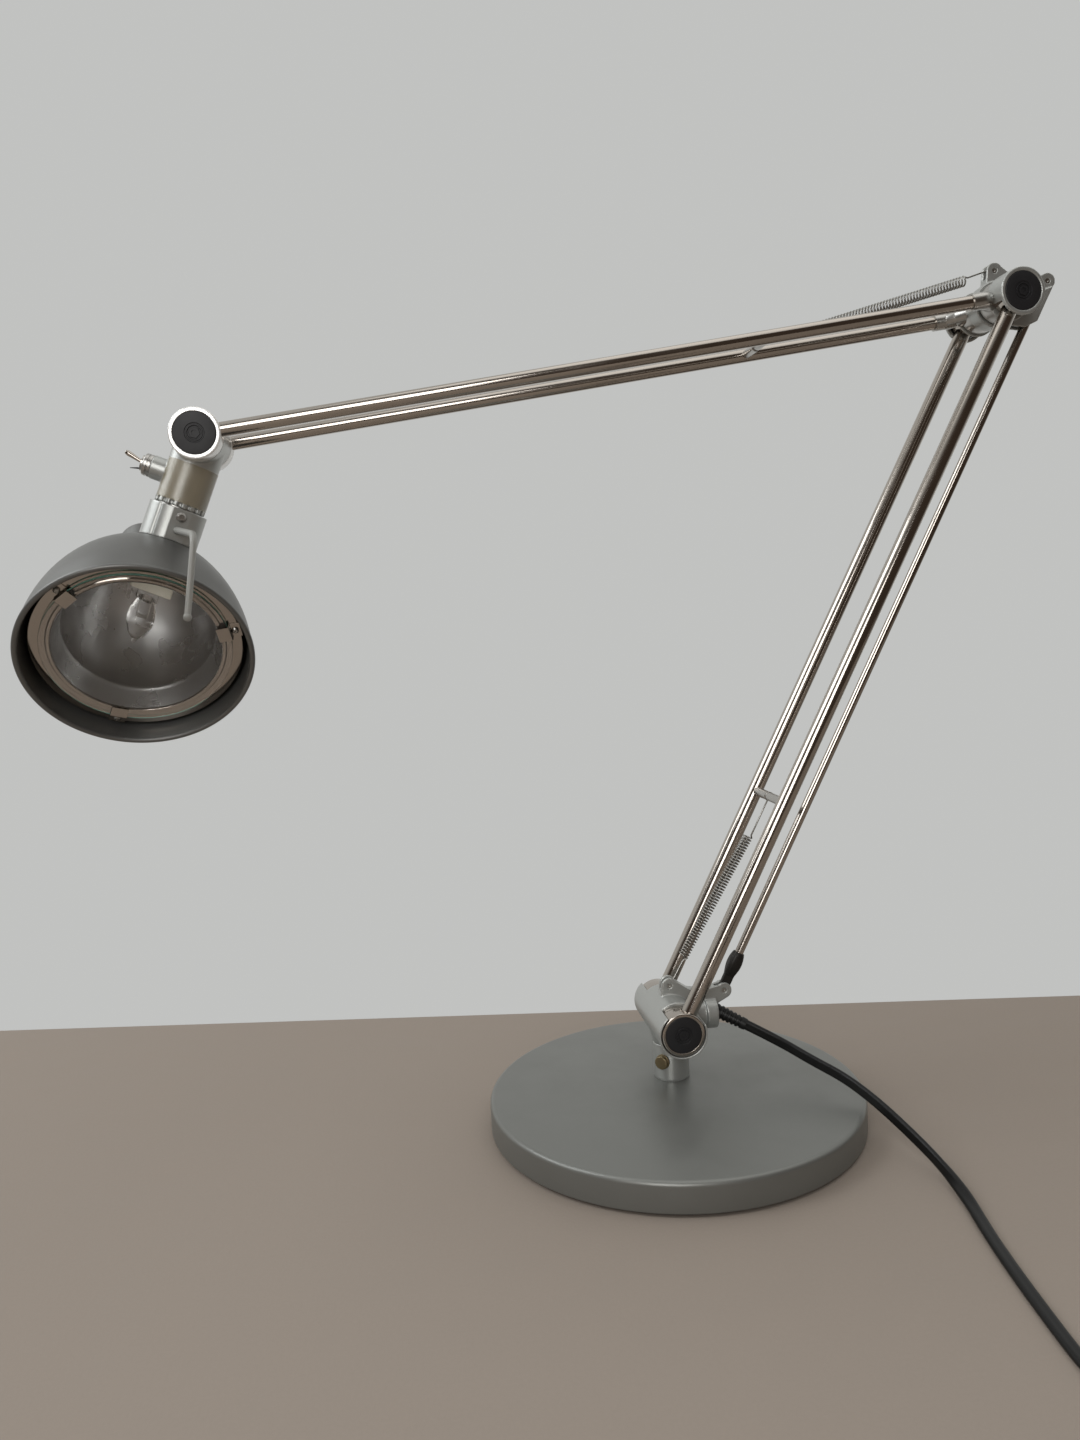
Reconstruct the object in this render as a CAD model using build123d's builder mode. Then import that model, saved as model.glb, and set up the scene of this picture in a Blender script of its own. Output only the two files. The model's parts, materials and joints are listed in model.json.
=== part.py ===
from build123d import *
from math import cos, pi, radians, sin, tan
import os

# Architect desk lamp. Millimetres, +Z up. The origin is where the post's axis meets the surface
# that the lamp stands on. The round base is set off centre, mostly towards the viewer's side, -Y.
# The arms swing in the XZ plane, and every arm pivot axis is parallel to Y.

# ---- Driving dimensions -------------------------------------------------------------------

BASE_RADIUS = 112
BASE_HEIGHT = 19
BASE_CENTRE = (-3, -18)
PAD_THICKNESS = 1.5
SHELL_WALL = 1.6
POST_RADIUS = 11
POST_TOP = 41.5
POST_FLOOR = BASE_HEIGHT + 3.5
SPIGOT_RADIUS = 6
RUNNING_GAP = 0.05

PIVOT_HEIGHT = 56.6
SPIGOT_TOP = PIVOT_HEIGHT - 6.5
LOWER_LENGTH = 478.5
LOWER_ANGLE = 62.7          # above the horizontal, leaning to +X
UPPER_LENGTH = 478.5
UPPER_ANGLE = 8.2           # below the horizontal, pointing to -X
LOWER_TUBE_RADIUS = 4.75
LOWER_TUBE_Y = 26
UPPER_TUBE_RADIUS = 4.05
UPPER_TUBE_Y = 22.3
ROD_RADIUS = 2.7
TUBE_WALL = 1
LOWER_PIN_AT = 149.5        # cross pin's distance from the lower pivot
UPPER_PIN_AT = 152          # cross pin's distance from the elbow pivot

AXLE_RADIUS = 4
BUSH_RADIUS = 6
NUT_RADIUS = 7.5            # across the corners of the hexagon
NUT_HEIGHT = 4.8
CUP_FACE_Y = 33.3
CUP_FLOOR_Y = 18.4
SPRING_EAR = (-0.2, 20.2)    # ear pins, from their pivot, the same on both brackets
ROD_EAR = (34.5, 14)
EAR_RADIUS = 4.9
EAR_OUTER_Y = 3.6
EAR_INNER_Y = 1.6
EAR_PIN_RADIUS = 1.5

NECK_ANGLE = 22.6           # neck axis from straight down, towards -X
NECK_RADIUS = 13.8
NECK_BORE = 11.5
NECK_END = 39.6
COLLAR_RADIUS = 15.8
COLLAR_START = 40.2
COLLAR_END = 80
SHADE_CENTRE = 107.2        # where the neck axis meets the shade's own axis
BEAM_TILT = 57.1            # shade axis from the neck axis
BEAM_TURN = 20.5            # turn of the shade about the neck, from straight sideways
MOUTH_AHEAD = 33.3
MOUTH_RADIUS = 61
SHADE_DEPTH = 88
SHADE_FULLNESS = 1.83       # exponent of the shade's superellipse profile, 2 for an ellipse
SHADE_WALL = 1.5
LIP_RADIUS = 1.5
RING_DEPTH = 11
SHADE_HOLE_RADIUS = 12.4     # where the neck sleeve enters the shade

CORD_DIAMETER = 6.4
CORD_RADIUS = CORD_DIAMETER / 2
COIL_MIDDLE_RADIUS = 35
COIL_CENTRE = (147, -318)
COIL_WIDTH = 13.4
COIL_HEIGHT = 20

# ---- Directions and pivots ----------------------------------------------------------------

lower_dir = Vector(cos(radians(LOWER_ANGLE)), 0, sin(radians(LOWER_ANGLE)))
upper_dir = Vector(-cos(radians(UPPER_ANGLE)), 0, -sin(radians(UPPER_ANGLE)))
neck_dir = Vector(-sin(radians(NECK_ANGLE)), 0, -cos(radians(NECK_ANGLE)))
across = Vector(0, 1, 0)

lower_pivot = Vector(0, 0, PIVOT_HEIGHT)
elbow = lower_pivot + lower_dir * LOWER_LENGTH
head = elbow + upper_dir * UPPER_LENGTH

ahead_of_neck = Vector(-cos(radians(NECK_ANGLE)), 0, sin(radians(NECK_ANGLE)))
shade_front = across * -cos(radians(BEAM_TURN)) - ahead_of_neck * sin(radians(BEAM_TURN))
beam_dir = neck_dir * cos(radians(BEAM_TILT)) + shade_front * sin(radians(BEAM_TILT))
shade_side = beam_dir.cross(neck_dir).normalized()
shade_middle = head + neck_dir * SHADE_CENTRE
mouth = shade_middle + beam_dir * MOUTH_AHEAD

UPRIGHT = (Align.CENTER, Align.CENTER, Align.MIN)


def round_bar(start, end, radius, mode=Mode.ADD):
    """A cylinder from one point to another."""
    run = Vector(end) - Vector(start)
    with Locations(Plane(origin=start, z_dir=run)):
        Cylinder(radius, run.length, align=UPRIGHT, mode=mode)


def hex_bar(start, end, corner_radius, mode=Mode.ADD):
    """A hexagonal prism from one point to another."""
    run = Vector(end) - Vector(start)
    with BuildSketch(Plane(origin=start, z_dir=run)) as hexagon:
        RegularPolygon(corner_radius, 6)
    extrude(hexagon.sketch, amount=run.length, mode=mode)


def cross_bar(pivot, radius, y_from, y_to, mode=Mode.ADD):
    """A cylinder along Y about a pivot."""
    round_bar(pivot + across * y_from, pivot + across * y_to, radius, mode)


def side_plane(pivot, y):
    """Plane with local x along X and local y along Z, at a pivot, facing -Y."""
    return Plane(origin=pivot + across * y, x_dir=(1, 0, 0), z_dir=(0, -1, 0))


def save(part, name):
    """Label a finished piece and write it as its own file."""
    part.label = name
    export_step(part, f"parts/{name}.step")


os.makedirs("parts", exist_ok=True)

# ---- Base ---------------------------------------------------------------------------------

with BuildPart() as base_pad:
    with Locations(BASE_CENTRE):
        Cylinder(BASE_RADIUS - 3, PAD_THICKNESS, align=UPRIGHT)
save(base_pad.part, "base_pad")

with BuildPart() as base_shell:
    with Locations((*BASE_CENTRE, PAD_THICKNESS)):
        Cylinder(BASE_RADIUS, BASE_HEIGHT - PAD_THICKNESS, align=UPRIGHT)
    fillet(base_shell.edges().group_by(Axis.Z)[-1], 2.6)
    fillet(base_shell.edges().group_by(Axis.Z)[0], 1.2)
    with Locations((*BASE_CENTRE, PAD_THICKNESS)):
        Cylinder(BASE_RADIUS - 3.2, BASE_HEIGHT - PAD_THICKNESS - SHELL_WALL, align=UPRIGHT,
                 mode=Mode.SUBTRACT)
    with Locations((0, 0, PAD_THICKNESS)):
        Cylinder(4, BASE_HEIGHT, align=UPRIGHT, mode=Mode.SUBTRACT)
save(base_shell.part, "base_shell")

with BuildPart() as base_weight:
    with Locations((*BASE_CENTRE, PAD_THICKNESS)):
        Cylinder(BASE_RADIUS - 4, BASE_HEIGHT - PAD_THICKNESS - SHELL_WALL, align=UPRIGHT)
    with Locations((0, 0, PAD_THICKNESS)):
        Cylinder(4, BASE_HEIGHT, align=UPRIGHT, mode=Mode.SUBTRACT)
        Cylinder(9, 6, align=UPRIGHT, mode=Mode.SUBTRACT)
save(base_weight.part, "base_weight")

CLAMP_SCREW_TURN = 41
screw_dir = Vector(-sin(radians(CLAMP_SCREW_TURN)), -cos(radians(CLAMP_SCREW_TURN)), 0)
screw_root = Vector(0, 0, 31.5)
with BuildPart() as base_post:
    with Locations((0, 0, BASE_HEIGHT)):
        Cylinder(POST_RADIUS, POST_TOP - BASE_HEIGHT, align=UPRIGHT)
    fillet(base_post.edges().group_by(Axis.Z)[-1], 0.6)
    with Locations((0, 0, POST_FLOOR)):
        Cylinder(8, POST_TOP, align=UPRIGHT, mode=Mode.SUBTRACT)
    with Locations((0, 0, BASE_HEIGHT)):
        Cylinder(4, 6, align=UPRIGHT, mode=Mode.SUBTRACT)
    round_bar(screw_root, screw_root + screw_dir * 20, 2, Mode.SUBTRACT)
save(base_post.part, "base_post")

with BuildPart() as post_screw:
    with Locations((0, 0, 2.5)):
        Cylinder(7.5, 4.5, align=UPRIGHT)
        Cylinder(4, POST_FLOOR - 3, align=UPRIGHT)
    hex_bar((0, 0, 2.5), (0, 0, 5), 3.5, Mode.SUBTRACT)
save(post_screw.part, "post_screw")

with BuildPart() as post_bush:
    with Locations((0, 0, POST_FLOOR)):
        Cylinder(8, POST_TOP - POST_FLOOR, align=UPRIGHT)
        Cylinder(SPIGOT_RADIUS + RUNNING_GAP, POST_TOP, align=UPRIGHT, mode=Mode.SUBTRACT)
    round_bar(screw_root, screw_root + screw_dir * 20, 2, Mode.SUBTRACT)
save(post_bush.part, "post_bush")

with BuildPart() as clamp_screw:
    round_bar(screw_root + screw_dir * 5, screw_root + screw_dir * 11.5, 2)
    round_bar(screw_root + screw_dir * 11.1, screw_root + screw_dir * 12.2, 4.5)
    round_bar(screw_root + screw_dir * 12.2, screw_root + screw_dir * 14.6, 4.1)
save(clamp_screw.part, "clamp_screw")

# ---- Lower bracket, which swivels on the post ----------------------------------------------

BOSS_END = 29
GLAND_START = Vector(BOSS_END - 3, 0, PIVOT_HEIGHT + 3.1)
gland_dir = Vector(22.1, -11.5, -10.8).normalized()
GLAND_LENGTH = 24
cord_exit = GLAND_START + gland_dir * GLAND_LENGTH
LOWER_SWING = (-40, 68)     # arm tube's window in the lower cups, from straight up towards +X


def ear_pair(pivot, slot_angles):
    """Two parallel ears for each ear pin, joined to the barrel by one web."""
    spring_x, spring_z = SPRING_EAR
    rod_x, rod_z = ROD_EAR
    with BuildSketch(side_plane(pivot, EAR_OUTER_Y)) as web:
        with Locations(SPRING_EAR, ROD_EAR):
            Circle(EAR_RADIUS)
        with BuildLine():
            Polyline((spring_x - EAR_RADIUS, spring_z), (spring_x - 6, 8), (0, 0), (22, 2),
                     (rod_x + 2, rod_z - 4.5), (rod_x + 0.8, rod_z + 4.8), (22, 15.4),
                     (12, 17), (spring_x + 4.2, spring_z + 2.5), close=True)
        make_face()
    extrude(web.sketch, amount=2 * EAR_OUTER_Y)
    for ear, angle in zip((SPRING_EAR, ROD_EAR), slot_angles):
        slot_plane = side_plane(pivot + Vector(ear[0], 0, ear[1]), EAR_INNER_Y)
        with BuildSketch(slot_plane) as slot:
            Circle(EAR_RADIUS + 1.2)
            with Locations(Location((0, 0, 0), angle)):
                Rectangle(40, 2 * EAR_RADIUS + 2.4, align=(Align.MIN, Align.CENTER))
        extrude(slot.sketch, amount=2 * EAR_INNER_Y, mode=Mode.SUBTRACT)
        pin = pivot + Vector(ear[0], 0, ear[1])
        cross_bar(pin, EAR_PIN_RADIUS, -EAR_OUTER_Y, EAR_OUTER_Y, Mode.SUBTRACT)


def arm_window(pivot, start_angle, end_angle, radius, y_from, y_to):
    """Open a cup's wall between two angles, measured from straight up towards +X."""
    angles = [start_angle, (start_angle + end_angle) / 2, end_angle]
    rim = [(radius * sin(radians(a)), radius * cos(radians(a))) for a in angles]
    with BuildSketch(side_plane(pivot, y_to)) as sector:
        with BuildLine():
            Polyline((0, 0), *rim, close=True)
        make_face()
    extrude(sector.sketch, amount=y_to - y_from, mode=Mode.SUBTRACT)


with BuildPart() as lower_bracket:
    with Locations((0, 0, POST_TOP + 0.3)):
        Cylinder(POST_RADIUS + 0.4, 12, align=UPRIGHT)
    with BuildSketch(Plane.XY.offset(POST_TOP + 1)):
        Circle(POST_RADIUS + 0.4)
    with BuildSketch(Plane.XY.offset(PIVOT_HEIGHT - 3)):
        RectangleRounded(26, 60, 11.5)
    loft()
    cross_bar(lower_pivot, 14.7, -CUP_FACE_Y, CUP_FACE_Y)
    round_bar(lower_pivot, lower_pivot + Vector(BOSS_END, 0, 0.3), 8.6)
    round_bar(lower_pivot + Vector(BOSS_END - 7, 0, 0.3),
              lower_pivot + Vector(BOSS_END, 0, 0.3), 10)
    ear_pair(lower_pivot, (LOWER_ANGLE, LOWER_ANGLE))
    for side in (-1, 1):
        low, high = sorted((side * CUP_FLOOR_Y, side * (CUP_FACE_Y + 1)))
        cross_bar(lower_pivot, 13.6, low, high, Mode.SUBTRACT)
        arm_window(lower_pivot, LOWER_SWING[0], LOWER_SWING[1], 40, low, high)
    cross_bar(lower_pivot, AXLE_RADIUS, -CUP_FACE_Y, CUP_FACE_Y, Mode.SUBTRACT)
    round_bar((0, 0, POST_TOP), (0, 0, SPIGOT_TOP), SPIGOT_RADIUS, Mode.SUBTRACT)
    round_bar(GLAND_START - gland_dir * 4, GLAND_START + gland_dir * 9, 4.4, Mode.SUBTRACT)
save(lower_bracket.part, "lower_bracket")

with BuildPart() as bracket_spigot:
    with Locations((0, 0, POST_FLOOR + 1)):
        Cylinder(SPIGOT_RADIUS, SPIGOT_TOP - POST_FLOOR - 1, align=UPRIGHT)
    with Locations((0, 0, screw_root.Z)):
        Cylinder(SPIGOT_RADIUS + 1, 5, mode=Mode.SUBTRACT)
    with Locations((0, 0, screw_root.Z)):
        Cylinder(SPIGOT_RADIUS - 1.6, 5)
save(bracket_spigot.part, "bracket_spigot")


def bracket_axle(pivot):
    """Steel axle through a bracket's barrel, threaded for a nut at each end."""
    cross_bar(pivot, AXLE_RADIUS, -30, 30)


def axle_nuts(pivot, inner_y):
    """A hexagonal nut on each end of an axle."""
    for side in (-1, 1):
        start = pivot + across * side * inner_y
        end = pivot + across * side * (inner_y + NUT_HEIGHT)
        hex_bar(start, end, NUT_RADIUS)
    cross_bar(pivot, AXLE_RADIUS, -CUP_FACE_Y, CUP_FACE_Y, Mode.SUBTRACT)


def ear_screws(pivot):
    """A hollow-ended pin screw through each pair of ears."""
    for ear in (SPRING_EAR, ROD_EAR):
        pin = pivot + Vector(ear[0], 0, ear[1])
        cross_bar(pin, EAR_PIN_RADIUS, -EAR_OUTER_Y + 0.5, EAR_OUTER_Y - 0.5)
        for side in (-1, 1):
            low, high = sorted((side * 2.4, side * EAR_OUTER_Y))
            cross_bar(pin, 0.8, low, high, Mode.SUBTRACT)


with BuildPart() as lower_axle:
    bracket_axle(lower_pivot)
save(lower_axle.part, "lower_axle")

with BuildPart() as lower_axle_nuts:
    axle_nuts(lower_pivot, 24.9)
save(lower_axle_nuts.part, "lower_axle_nuts")

with BuildPart() as lower_ear_screws:
    ear_screws(lower_pivot)
save(lower_ear_screws.part, "lower_ear_screws")

# ---- Cord, its gland, coil and plug ---------------------------------------------------------

with BuildPart() as cord_gland:
    with BuildSketch(Plane(origin=GLAND_START - gland_dir * 2, z_dir=gland_dir)):
        Circle(4.4)
    with BuildSketch(Plane(origin=GLAND_START + gland_dir * 6, z_dir=gland_dir)):
        Circle(4.3)
    with BuildSketch(Plane(origin=cord_exit, z_dir=gland_dir)):
        Circle(CORD_RADIUS + 0.3)
    loft(ruled=True)
save(cord_gland.part, "cord_gland")

coil_entry = Vector(COIL_CENTRE[0], COIL_CENTRE[1] - COIL_MIDDLE_RADIUS, CORD_RADIUS + 0.1)
cord_points = [
    cord_exit,
    cord_exit + gland_dir * 21,
    Vector(76.9, -38.6, 35.2),
    Vector(88.7, -55.1, 31),
    Vector(97.5, -75.2, 25.6),
    Vector(106.5, -94.3, 16.9),
    Vector(114.7, -116.8, 7.4),
    Vector(114.6, -145.4, 3.4),
    Vector(108.5, -175.4, 3.3),
    Vector(103.4, -206.3, 3.4),
    Vector(98.9, -239.1, 3.3),
    Vector(95.4, -268.8, 3.3),
    Vector(96.7, -298.3, 3.3),
    Vector(103.5, -327, 3.3),
    Vector(120, -347, 3.3),
    coil_entry,
]


def cord_radii(points):
    """The largest tangent arc that each corner's two runs allow."""
    radii = []
    for before, corner, after in zip(points, points[1:], points[2:]):
        run_in = corner - before
        run_out = after - corner
        turn = run_in.get_angle(run_out)
        shorter = min(run_in.length, run_out.length)
        radii.append(0.45 * shorter / tan(radians(turn / 2)))
    return radii


radii = cord_radii(cord_points)
with BuildPart() as cord_tube:
    with BuildLine() as cord_route:
        FilletPolyline(*cord_points, radius=radii)
    start_dir = cord_points[1] - cord_points[0]
    with BuildSketch(Plane(origin=cord_exit, z_dir=start_dir)):
        Circle(CORD_RADIUS)
    sweep()
save(cord_tube.part, "cord_tube")
route_length = sum(edge.length for edge in cord_route.edges())
section = pi * CORD_RADIUS ** 2
print("cord radii", [round(radius) for radius in radii])
print("cord tube length", round(route_length, 1),
      "volume ratio", round(cord_tube.part.volume / (section * route_length), 4))

with BuildPart() as cord_coil:
    with Locations((COIL_CENTRE[0], COIL_CENTRE[1], 0.1)):
        Cylinder(COIL_MIDDLE_RADIUS + COIL_WIDTH / 2, COIL_HEIGHT, align=UPRIGHT)
    fillet(cord_coil.edges(), 3)
    with Locations((COIL_CENTRE[0], COIL_CENTRE[1], 0.1)):
        Cylinder(COIL_MIDDLE_RADIUS - COIL_WIDTH / 2, COIL_HEIGHT, align=UPRIGHT,
                 mode=Mode.SUBTRACT)
save(cord_coil.part, "cord_coil")

PLUG_LENGTH = 36
plug_start = Vector(COIL_CENTRE[0] + COIL_MIDDLE_RADIUS + 7.5, COIL_CENTRE[1] + 4, 7)
plug_dir = Vector(0, 1, 0)
with BuildPart() as plug_body:
    with BuildSketch(Plane(origin=plug_start, x_dir=(1, 0, 0), z_dir=plug_dir)):
        Circle(CORD_RADIUS + 0.4)
    with BuildSketch(Plane(origin=plug_start + plug_dir * 20, x_dir=(1, 0, 0), z_dir=plug_dir)):
        RectangleRounded(11, 9, 4)
    loft()
    with BuildSketch(Plane(origin=plug_start + plug_dir * 20, x_dir=(1, 0, 0), z_dir=plug_dir)):
        RectangleRounded(15, 12, 4)
    with BuildSketch(Plane(origin=plug_start + plug_dir * (20 + PLUG_LENGTH), x_dir=(1, 0, 0),
                           z_dir=plug_dir)):
        RectangleRounded(33, 13.6, 6)
    loft()
save(plug_body.part, "plug_body")

PLUG_PIN_SPACING = 18.6
plug_face = plug_start + plug_dir * (20 + PLUG_LENGTH)
with BuildPart() as plug_pins:
    for side in (-1, 1):
        root = plug_face + Vector(side * PLUG_PIN_SPACING / 2, 0, 0)
        round_bar(root, root + plug_dir * 19, 2)
    fillet(plug_pins.edges().group_by(Axis.Y)[-1], 1.2)
save(plug_pins.part, "plug_pins")

# ---- Lower arm --------------------------------------------------------------------------------


def arm_tube(start, end, radius):
    """A straight chromed tube."""
    round_bar(start, end, radius)
    round_bar(start, end, radius - TUBE_WALL, Mode.SUBTRACT)


def tube_hub(pivot, tube_dir, tube_y, tube_radius, outer_radius, face_y, floor_y, cap_depth,
             cap_radius, socket_from):
    """An eye that turns on the axle, with a socket for the tube and a recess for nut and cap."""
    side = 1 if tube_y > 0 else -1
    cross_bar(pivot, outer_radius, *sorted((side * floor_y, side * face_y)))
    tube_axis = pivot + across * tube_y
    round_bar(tube_axis + tube_dir * socket_from, tube_axis + tube_dir * 40, tube_radius,
              Mode.SUBTRACT)
    cross_bar(pivot, BUSH_RADIUS, -CUP_FACE_Y, CUP_FACE_Y, Mode.SUBTRACT)
    cross_bar(pivot, 8, *sorted((side * 24.4, side * CUP_FACE_Y)), Mode.SUBTRACT)
    if cap_depth:
        cross_bar(pivot, cap_radius, *sorted((side * (face_y - cap_depth), side * face_y)),
                  Mode.SUBTRACT)


def hub_cap(pivot, side, face_y, thickness, radius):
    """A round plastic cap with a raised ring and a hexagonal boss at its middle."""
    inner = pivot + across * side * (face_y - thickness)
    outer = pivot + across * side * face_y
    round_bar(inner, outer, radius)
    recess = outer - across * side * 0.7
    round_bar(recess, outer, 4.2, Mode.SUBTRACT)
    hex_bar(recess, outer - across * side * 0.2, 3.4)
    round_bar(recess, outer, 1.6, Mode.SUBTRACT)


for side, name in ((-1, "near"), (1, "far")):
    offset_y = across * side * LOWER_TUBE_Y
    with BuildPart() as lower_tube:
        arm_tube(lower_pivot + offset_y + lower_dir * 9,
                 elbow + offset_y - lower_dir * 9, LOWER_TUBE_RADIUS)
        pin_hole = lower_pivot + lower_dir * LOWER_PIN_AT
        cross_bar(pin_hole, 2, *sorted((0, side * LOWER_TUBE_Y)), Mode.SUBTRACT)
    save(lower_tube.part, f"lower_tube_{name}")

with BuildPart() as lower_foot_hubs:
    for side in (-1, 1):
        with BuildPart(mode=Mode.PRIVATE) as hub:
            tube_hub(lower_pivot, lower_dir, side * LOWER_TUBE_Y, LOWER_TUBE_RADIUS, 13.1, 33,
                     18.8, 2.6, 11, 9)
        add(hub.part)
save(lower_foot_hubs.part, "lower_foot_hubs")

with BuildPart() as lower_top_hubs:
    for side in (-1, 1):
        with BuildPart(mode=Mode.PRIVATE) as hub:
            tube_hub(elbow, lower_dir * -1, side * LOWER_TUBE_Y, LOWER_TUBE_RADIUS, 11, 31, 18.8,
                     0, 0, 9)
        add(hub.part)
save(lower_top_hubs.part, "lower_top_hubs")

with BuildPart() as lower_bushes:
    for pivot in (lower_pivot, elbow):
        for low, high in ((-24.4, -18.8), (18.8, 24.4)):
            cross_bar(pivot, BUSH_RADIUS, low, high)
        cross_bar(pivot, AXLE_RADIUS + RUNNING_GAP, -CUP_FACE_Y, CUP_FACE_Y, Mode.SUBTRACT)
save(lower_bushes.part, "lower_bushes")

with BuildPart() as lower_caps:
    for side in (-1, 1):
        hub_cap(lower_pivot, side, 33, 2.2, 11)
save(lower_caps.part, "lower_caps")


def cross_pin(centre, half_length, radius):
    """A spacer between two tubes, with a groove for the spring at its middle."""
    cross_bar(centre, 2, -half_length - 4, half_length + 4)
    cross_bar(centre, radius, -half_length, -1.5)
    cross_bar(centre, radius, 1.5, half_length)


lower_pin_centre = lower_pivot + lower_dir * LOWER_PIN_AT
with BuildPart() as lower_cross_pin:
    cross_pin(lower_pin_centre, LOWER_TUBE_Y - LOWER_TUBE_RADIUS, 2.8)
save(lower_cross_pin.part, "lower_cross_pin")

# ---- Springs ----------------------------------------------------------------------------------


def tension_spring(ear, pin, coil_from, coil_to, coil_radius):
    """The outer shape of a close-wound spring and the straight ends that hook on at each end."""
    along = (pin - ear).normalized()
    round_bar(ear + along * (EAR_PIN_RADIUS + 0.1), pin - along * 2.1, 0.6)
    round_bar(ear + along * coil_from, ear + along * coil_to, coil_radius)


lower_ear = lower_pivot + Vector(SPRING_EAR[0], 0, SPRING_EAR[1])
with BuildPart() as lower_spring:
    tension_spring(lower_ear, lower_pin_centre, 20, 104, 3.1)
save(lower_spring.part, "lower_spring")

upper_pin_centre = elbow + upper_dir * UPPER_PIN_AT
upper_ear = elbow + Vector(SPRING_EAR[0], 0, SPRING_EAR[1])
with BuildPart() as upper_spring:
    tension_spring(upper_ear, upper_pin_centre, 19, 116, 3.1)
save(upper_spring.part, "upper_spring")

# ---- Parallel rod ------------------------------------------------------------------------------

rod_foot_pin = lower_pivot + Vector(ROD_EAR[0], 0, ROD_EAR[1])
rod_head_pin = elbow + Vector(ROD_EAR[0], 0, ROD_EAR[1])


def flat_eye(pin, towards, blade_length, width, hole_radius):
    """A flat blade with an eye at the pin, running towards the rod."""
    blade_plane = Plane(origin=pin + across * 1.3, x_dir=towards, z_dir=(0, -1, 0))
    with BuildSketch(blade_plane) as blade:
        Circle(width / 2)
        Rectangle(blade_length, width, align=(Align.MIN, Align.CENTER))
        Circle(hole_radius, mode=Mode.SUBTRACT)
    extrude(blade.sketch, amount=2.6)


with BuildPart() as rod_foot:
    flat_eye(rod_foot_pin, lower_dir, 14, 6.4, EAR_PIN_RADIUS + RUNNING_GAP)
    with BuildSketch(Plane(origin=rod_foot_pin + lower_dir * 9, x_dir=across,
                           z_dir=lower_dir)):
        RectangleRounded(2.6, 6.4, 0.8)
    with BuildSketch(Plane(origin=rod_foot_pin + lower_dir * 14, x_dir=across,
                           z_dir=lower_dir)):
        RectangleRounded(7, 8.2, 2.4)
    with BuildSketch(Plane(origin=rod_foot_pin + lower_dir * 25, x_dir=across,
                           z_dir=lower_dir)):
        Circle(3.5)
    loft()
    round_bar(rod_foot_pin + lower_dir * 15, rod_foot_pin + lower_dir * 30, ROD_RADIUS,
              Mode.SUBTRACT)
save(rod_foot.part, "rod_foot")

with BuildPart() as parallel_rod:
    round_bar(rod_foot_pin + lower_dir * 15, rod_head_pin - lower_dir * 26, ROD_RADIUS)
    with BuildSketch(Plane(origin=rod_head_pin - lower_dir * 26, x_dir=across,
                           z_dir=lower_dir)):
        Circle(ROD_RADIUS)
    with BuildSketch(Plane(origin=rod_head_pin - lower_dir * 16, x_dir=across,
                           z_dir=lower_dir)):
        RectangleRounded(2.4, 6, 0.8)
    loft()
    flat_eye(rod_head_pin, lower_dir * -1, 16.2, 6, EAR_PIN_RADIUS + 0.35)
save(parallel_rod.part, "parallel_rod")

# ---- Elbow bracket ------------------------------------------------------------------------------

ELBOW_CUP_RADIUS = 13.7
ELBOW_BORE = 11.9
ELBOW_CAP_RADIUS = 11.2
MIDDLE_HALF_WIDTH = 5
GUARD_HALF_WIDTH = 4.6
GUARD_SLOT_HALF_WIDTH = 3
GUARD_SLOT_OPENING = 24

with BuildPart() as elbow_bracket:
    cross_bar(elbow, BUSH_RADIUS + 1.5, -CUP_FACE_Y, CUP_FACE_Y)
    cross_bar(elbow, ELBOW_CUP_RADIUS, -MIDDLE_HALF_WIDTH, MIDDLE_HALF_WIDTH)
    for low, high in ((-CUP_FACE_Y, -CUP_FLOOR_Y + 1), (CUP_FLOOR_Y - 1, CUP_FACE_Y)):
        cross_bar(elbow, ELBOW_CUP_RADIUS, low, high)
    ear_pair(elbow, (180 - UPPER_ANGLE - 10, LOWER_ANGLE + 180))
    with BuildSketch(side_plane(elbow, GUARD_HALF_WIDTH)) as rod_guard:
        with BuildLine():
            Polyline((37.5, ROD_EAR[1] - 3.5), (27, -10), (19, -13.5), (5, -12),
                     (10, 2), close=True)
        make_face()
    extrude(rod_guard.sketch, amount=2 * GUARD_HALF_WIDTH)
    guard_slot_plane = side_plane(rod_head_pin, GUARD_SLOT_HALF_WIDTH)
    with BuildSketch(guard_slot_plane) as guard_slot:
        with Locations(Location((0, 0, 0), LOWER_ANGLE + 180)):
            Rectangle(45, GUARD_SLOT_OPENING, align=(Align.MIN, Align.CENTER))
    extrude(guard_slot.sketch, amount=2 * GUARD_SLOT_HALF_WIDTH, mode=Mode.SUBTRACT)
    for side in (-1, 1):
        cross_bar(elbow, ELBOW_BORE, *sorted((side * CUP_FLOOR_Y, side * 31.2)), Mode.SUBTRACT)
        cross_bar(elbow, ELBOW_CAP_RADIUS, *sorted((side * 31, side * (CUP_FACE_Y + 1))),
                  Mode.SUBTRACT)
        arm_window(elbow, 180 + LOWER_SWING[0], 180 + LOWER_SWING[1], 40,
                   *sorted((side * CUP_FLOOR_Y, side * 31.2)))
    cross_bar(elbow, AXLE_RADIUS, -CUP_FACE_Y, CUP_FACE_Y, Mode.SUBTRACT)
save(elbow_bracket.part, "elbow_bracket")

with BuildPart() as elbow_axle:
    bracket_axle(elbow)
save(elbow_axle.part, "elbow_axle")

with BuildPart() as elbow_axle_nuts:
    axle_nuts(elbow, 24.9)
save(elbow_axle_nuts.part, "elbow_axle_nuts")

with BuildPart() as elbow_ear_screws:
    ear_screws(elbow)
save(elbow_ear_screws.part, "elbow_ear_screws")

with BuildPart() as elbow_caps:
    for side in (-1, 1):
        hub_cap(elbow, side, CUP_FACE_Y, 2, ELBOW_CAP_RADIUS)
save(elbow_caps.part, "elbow_caps")

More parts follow.
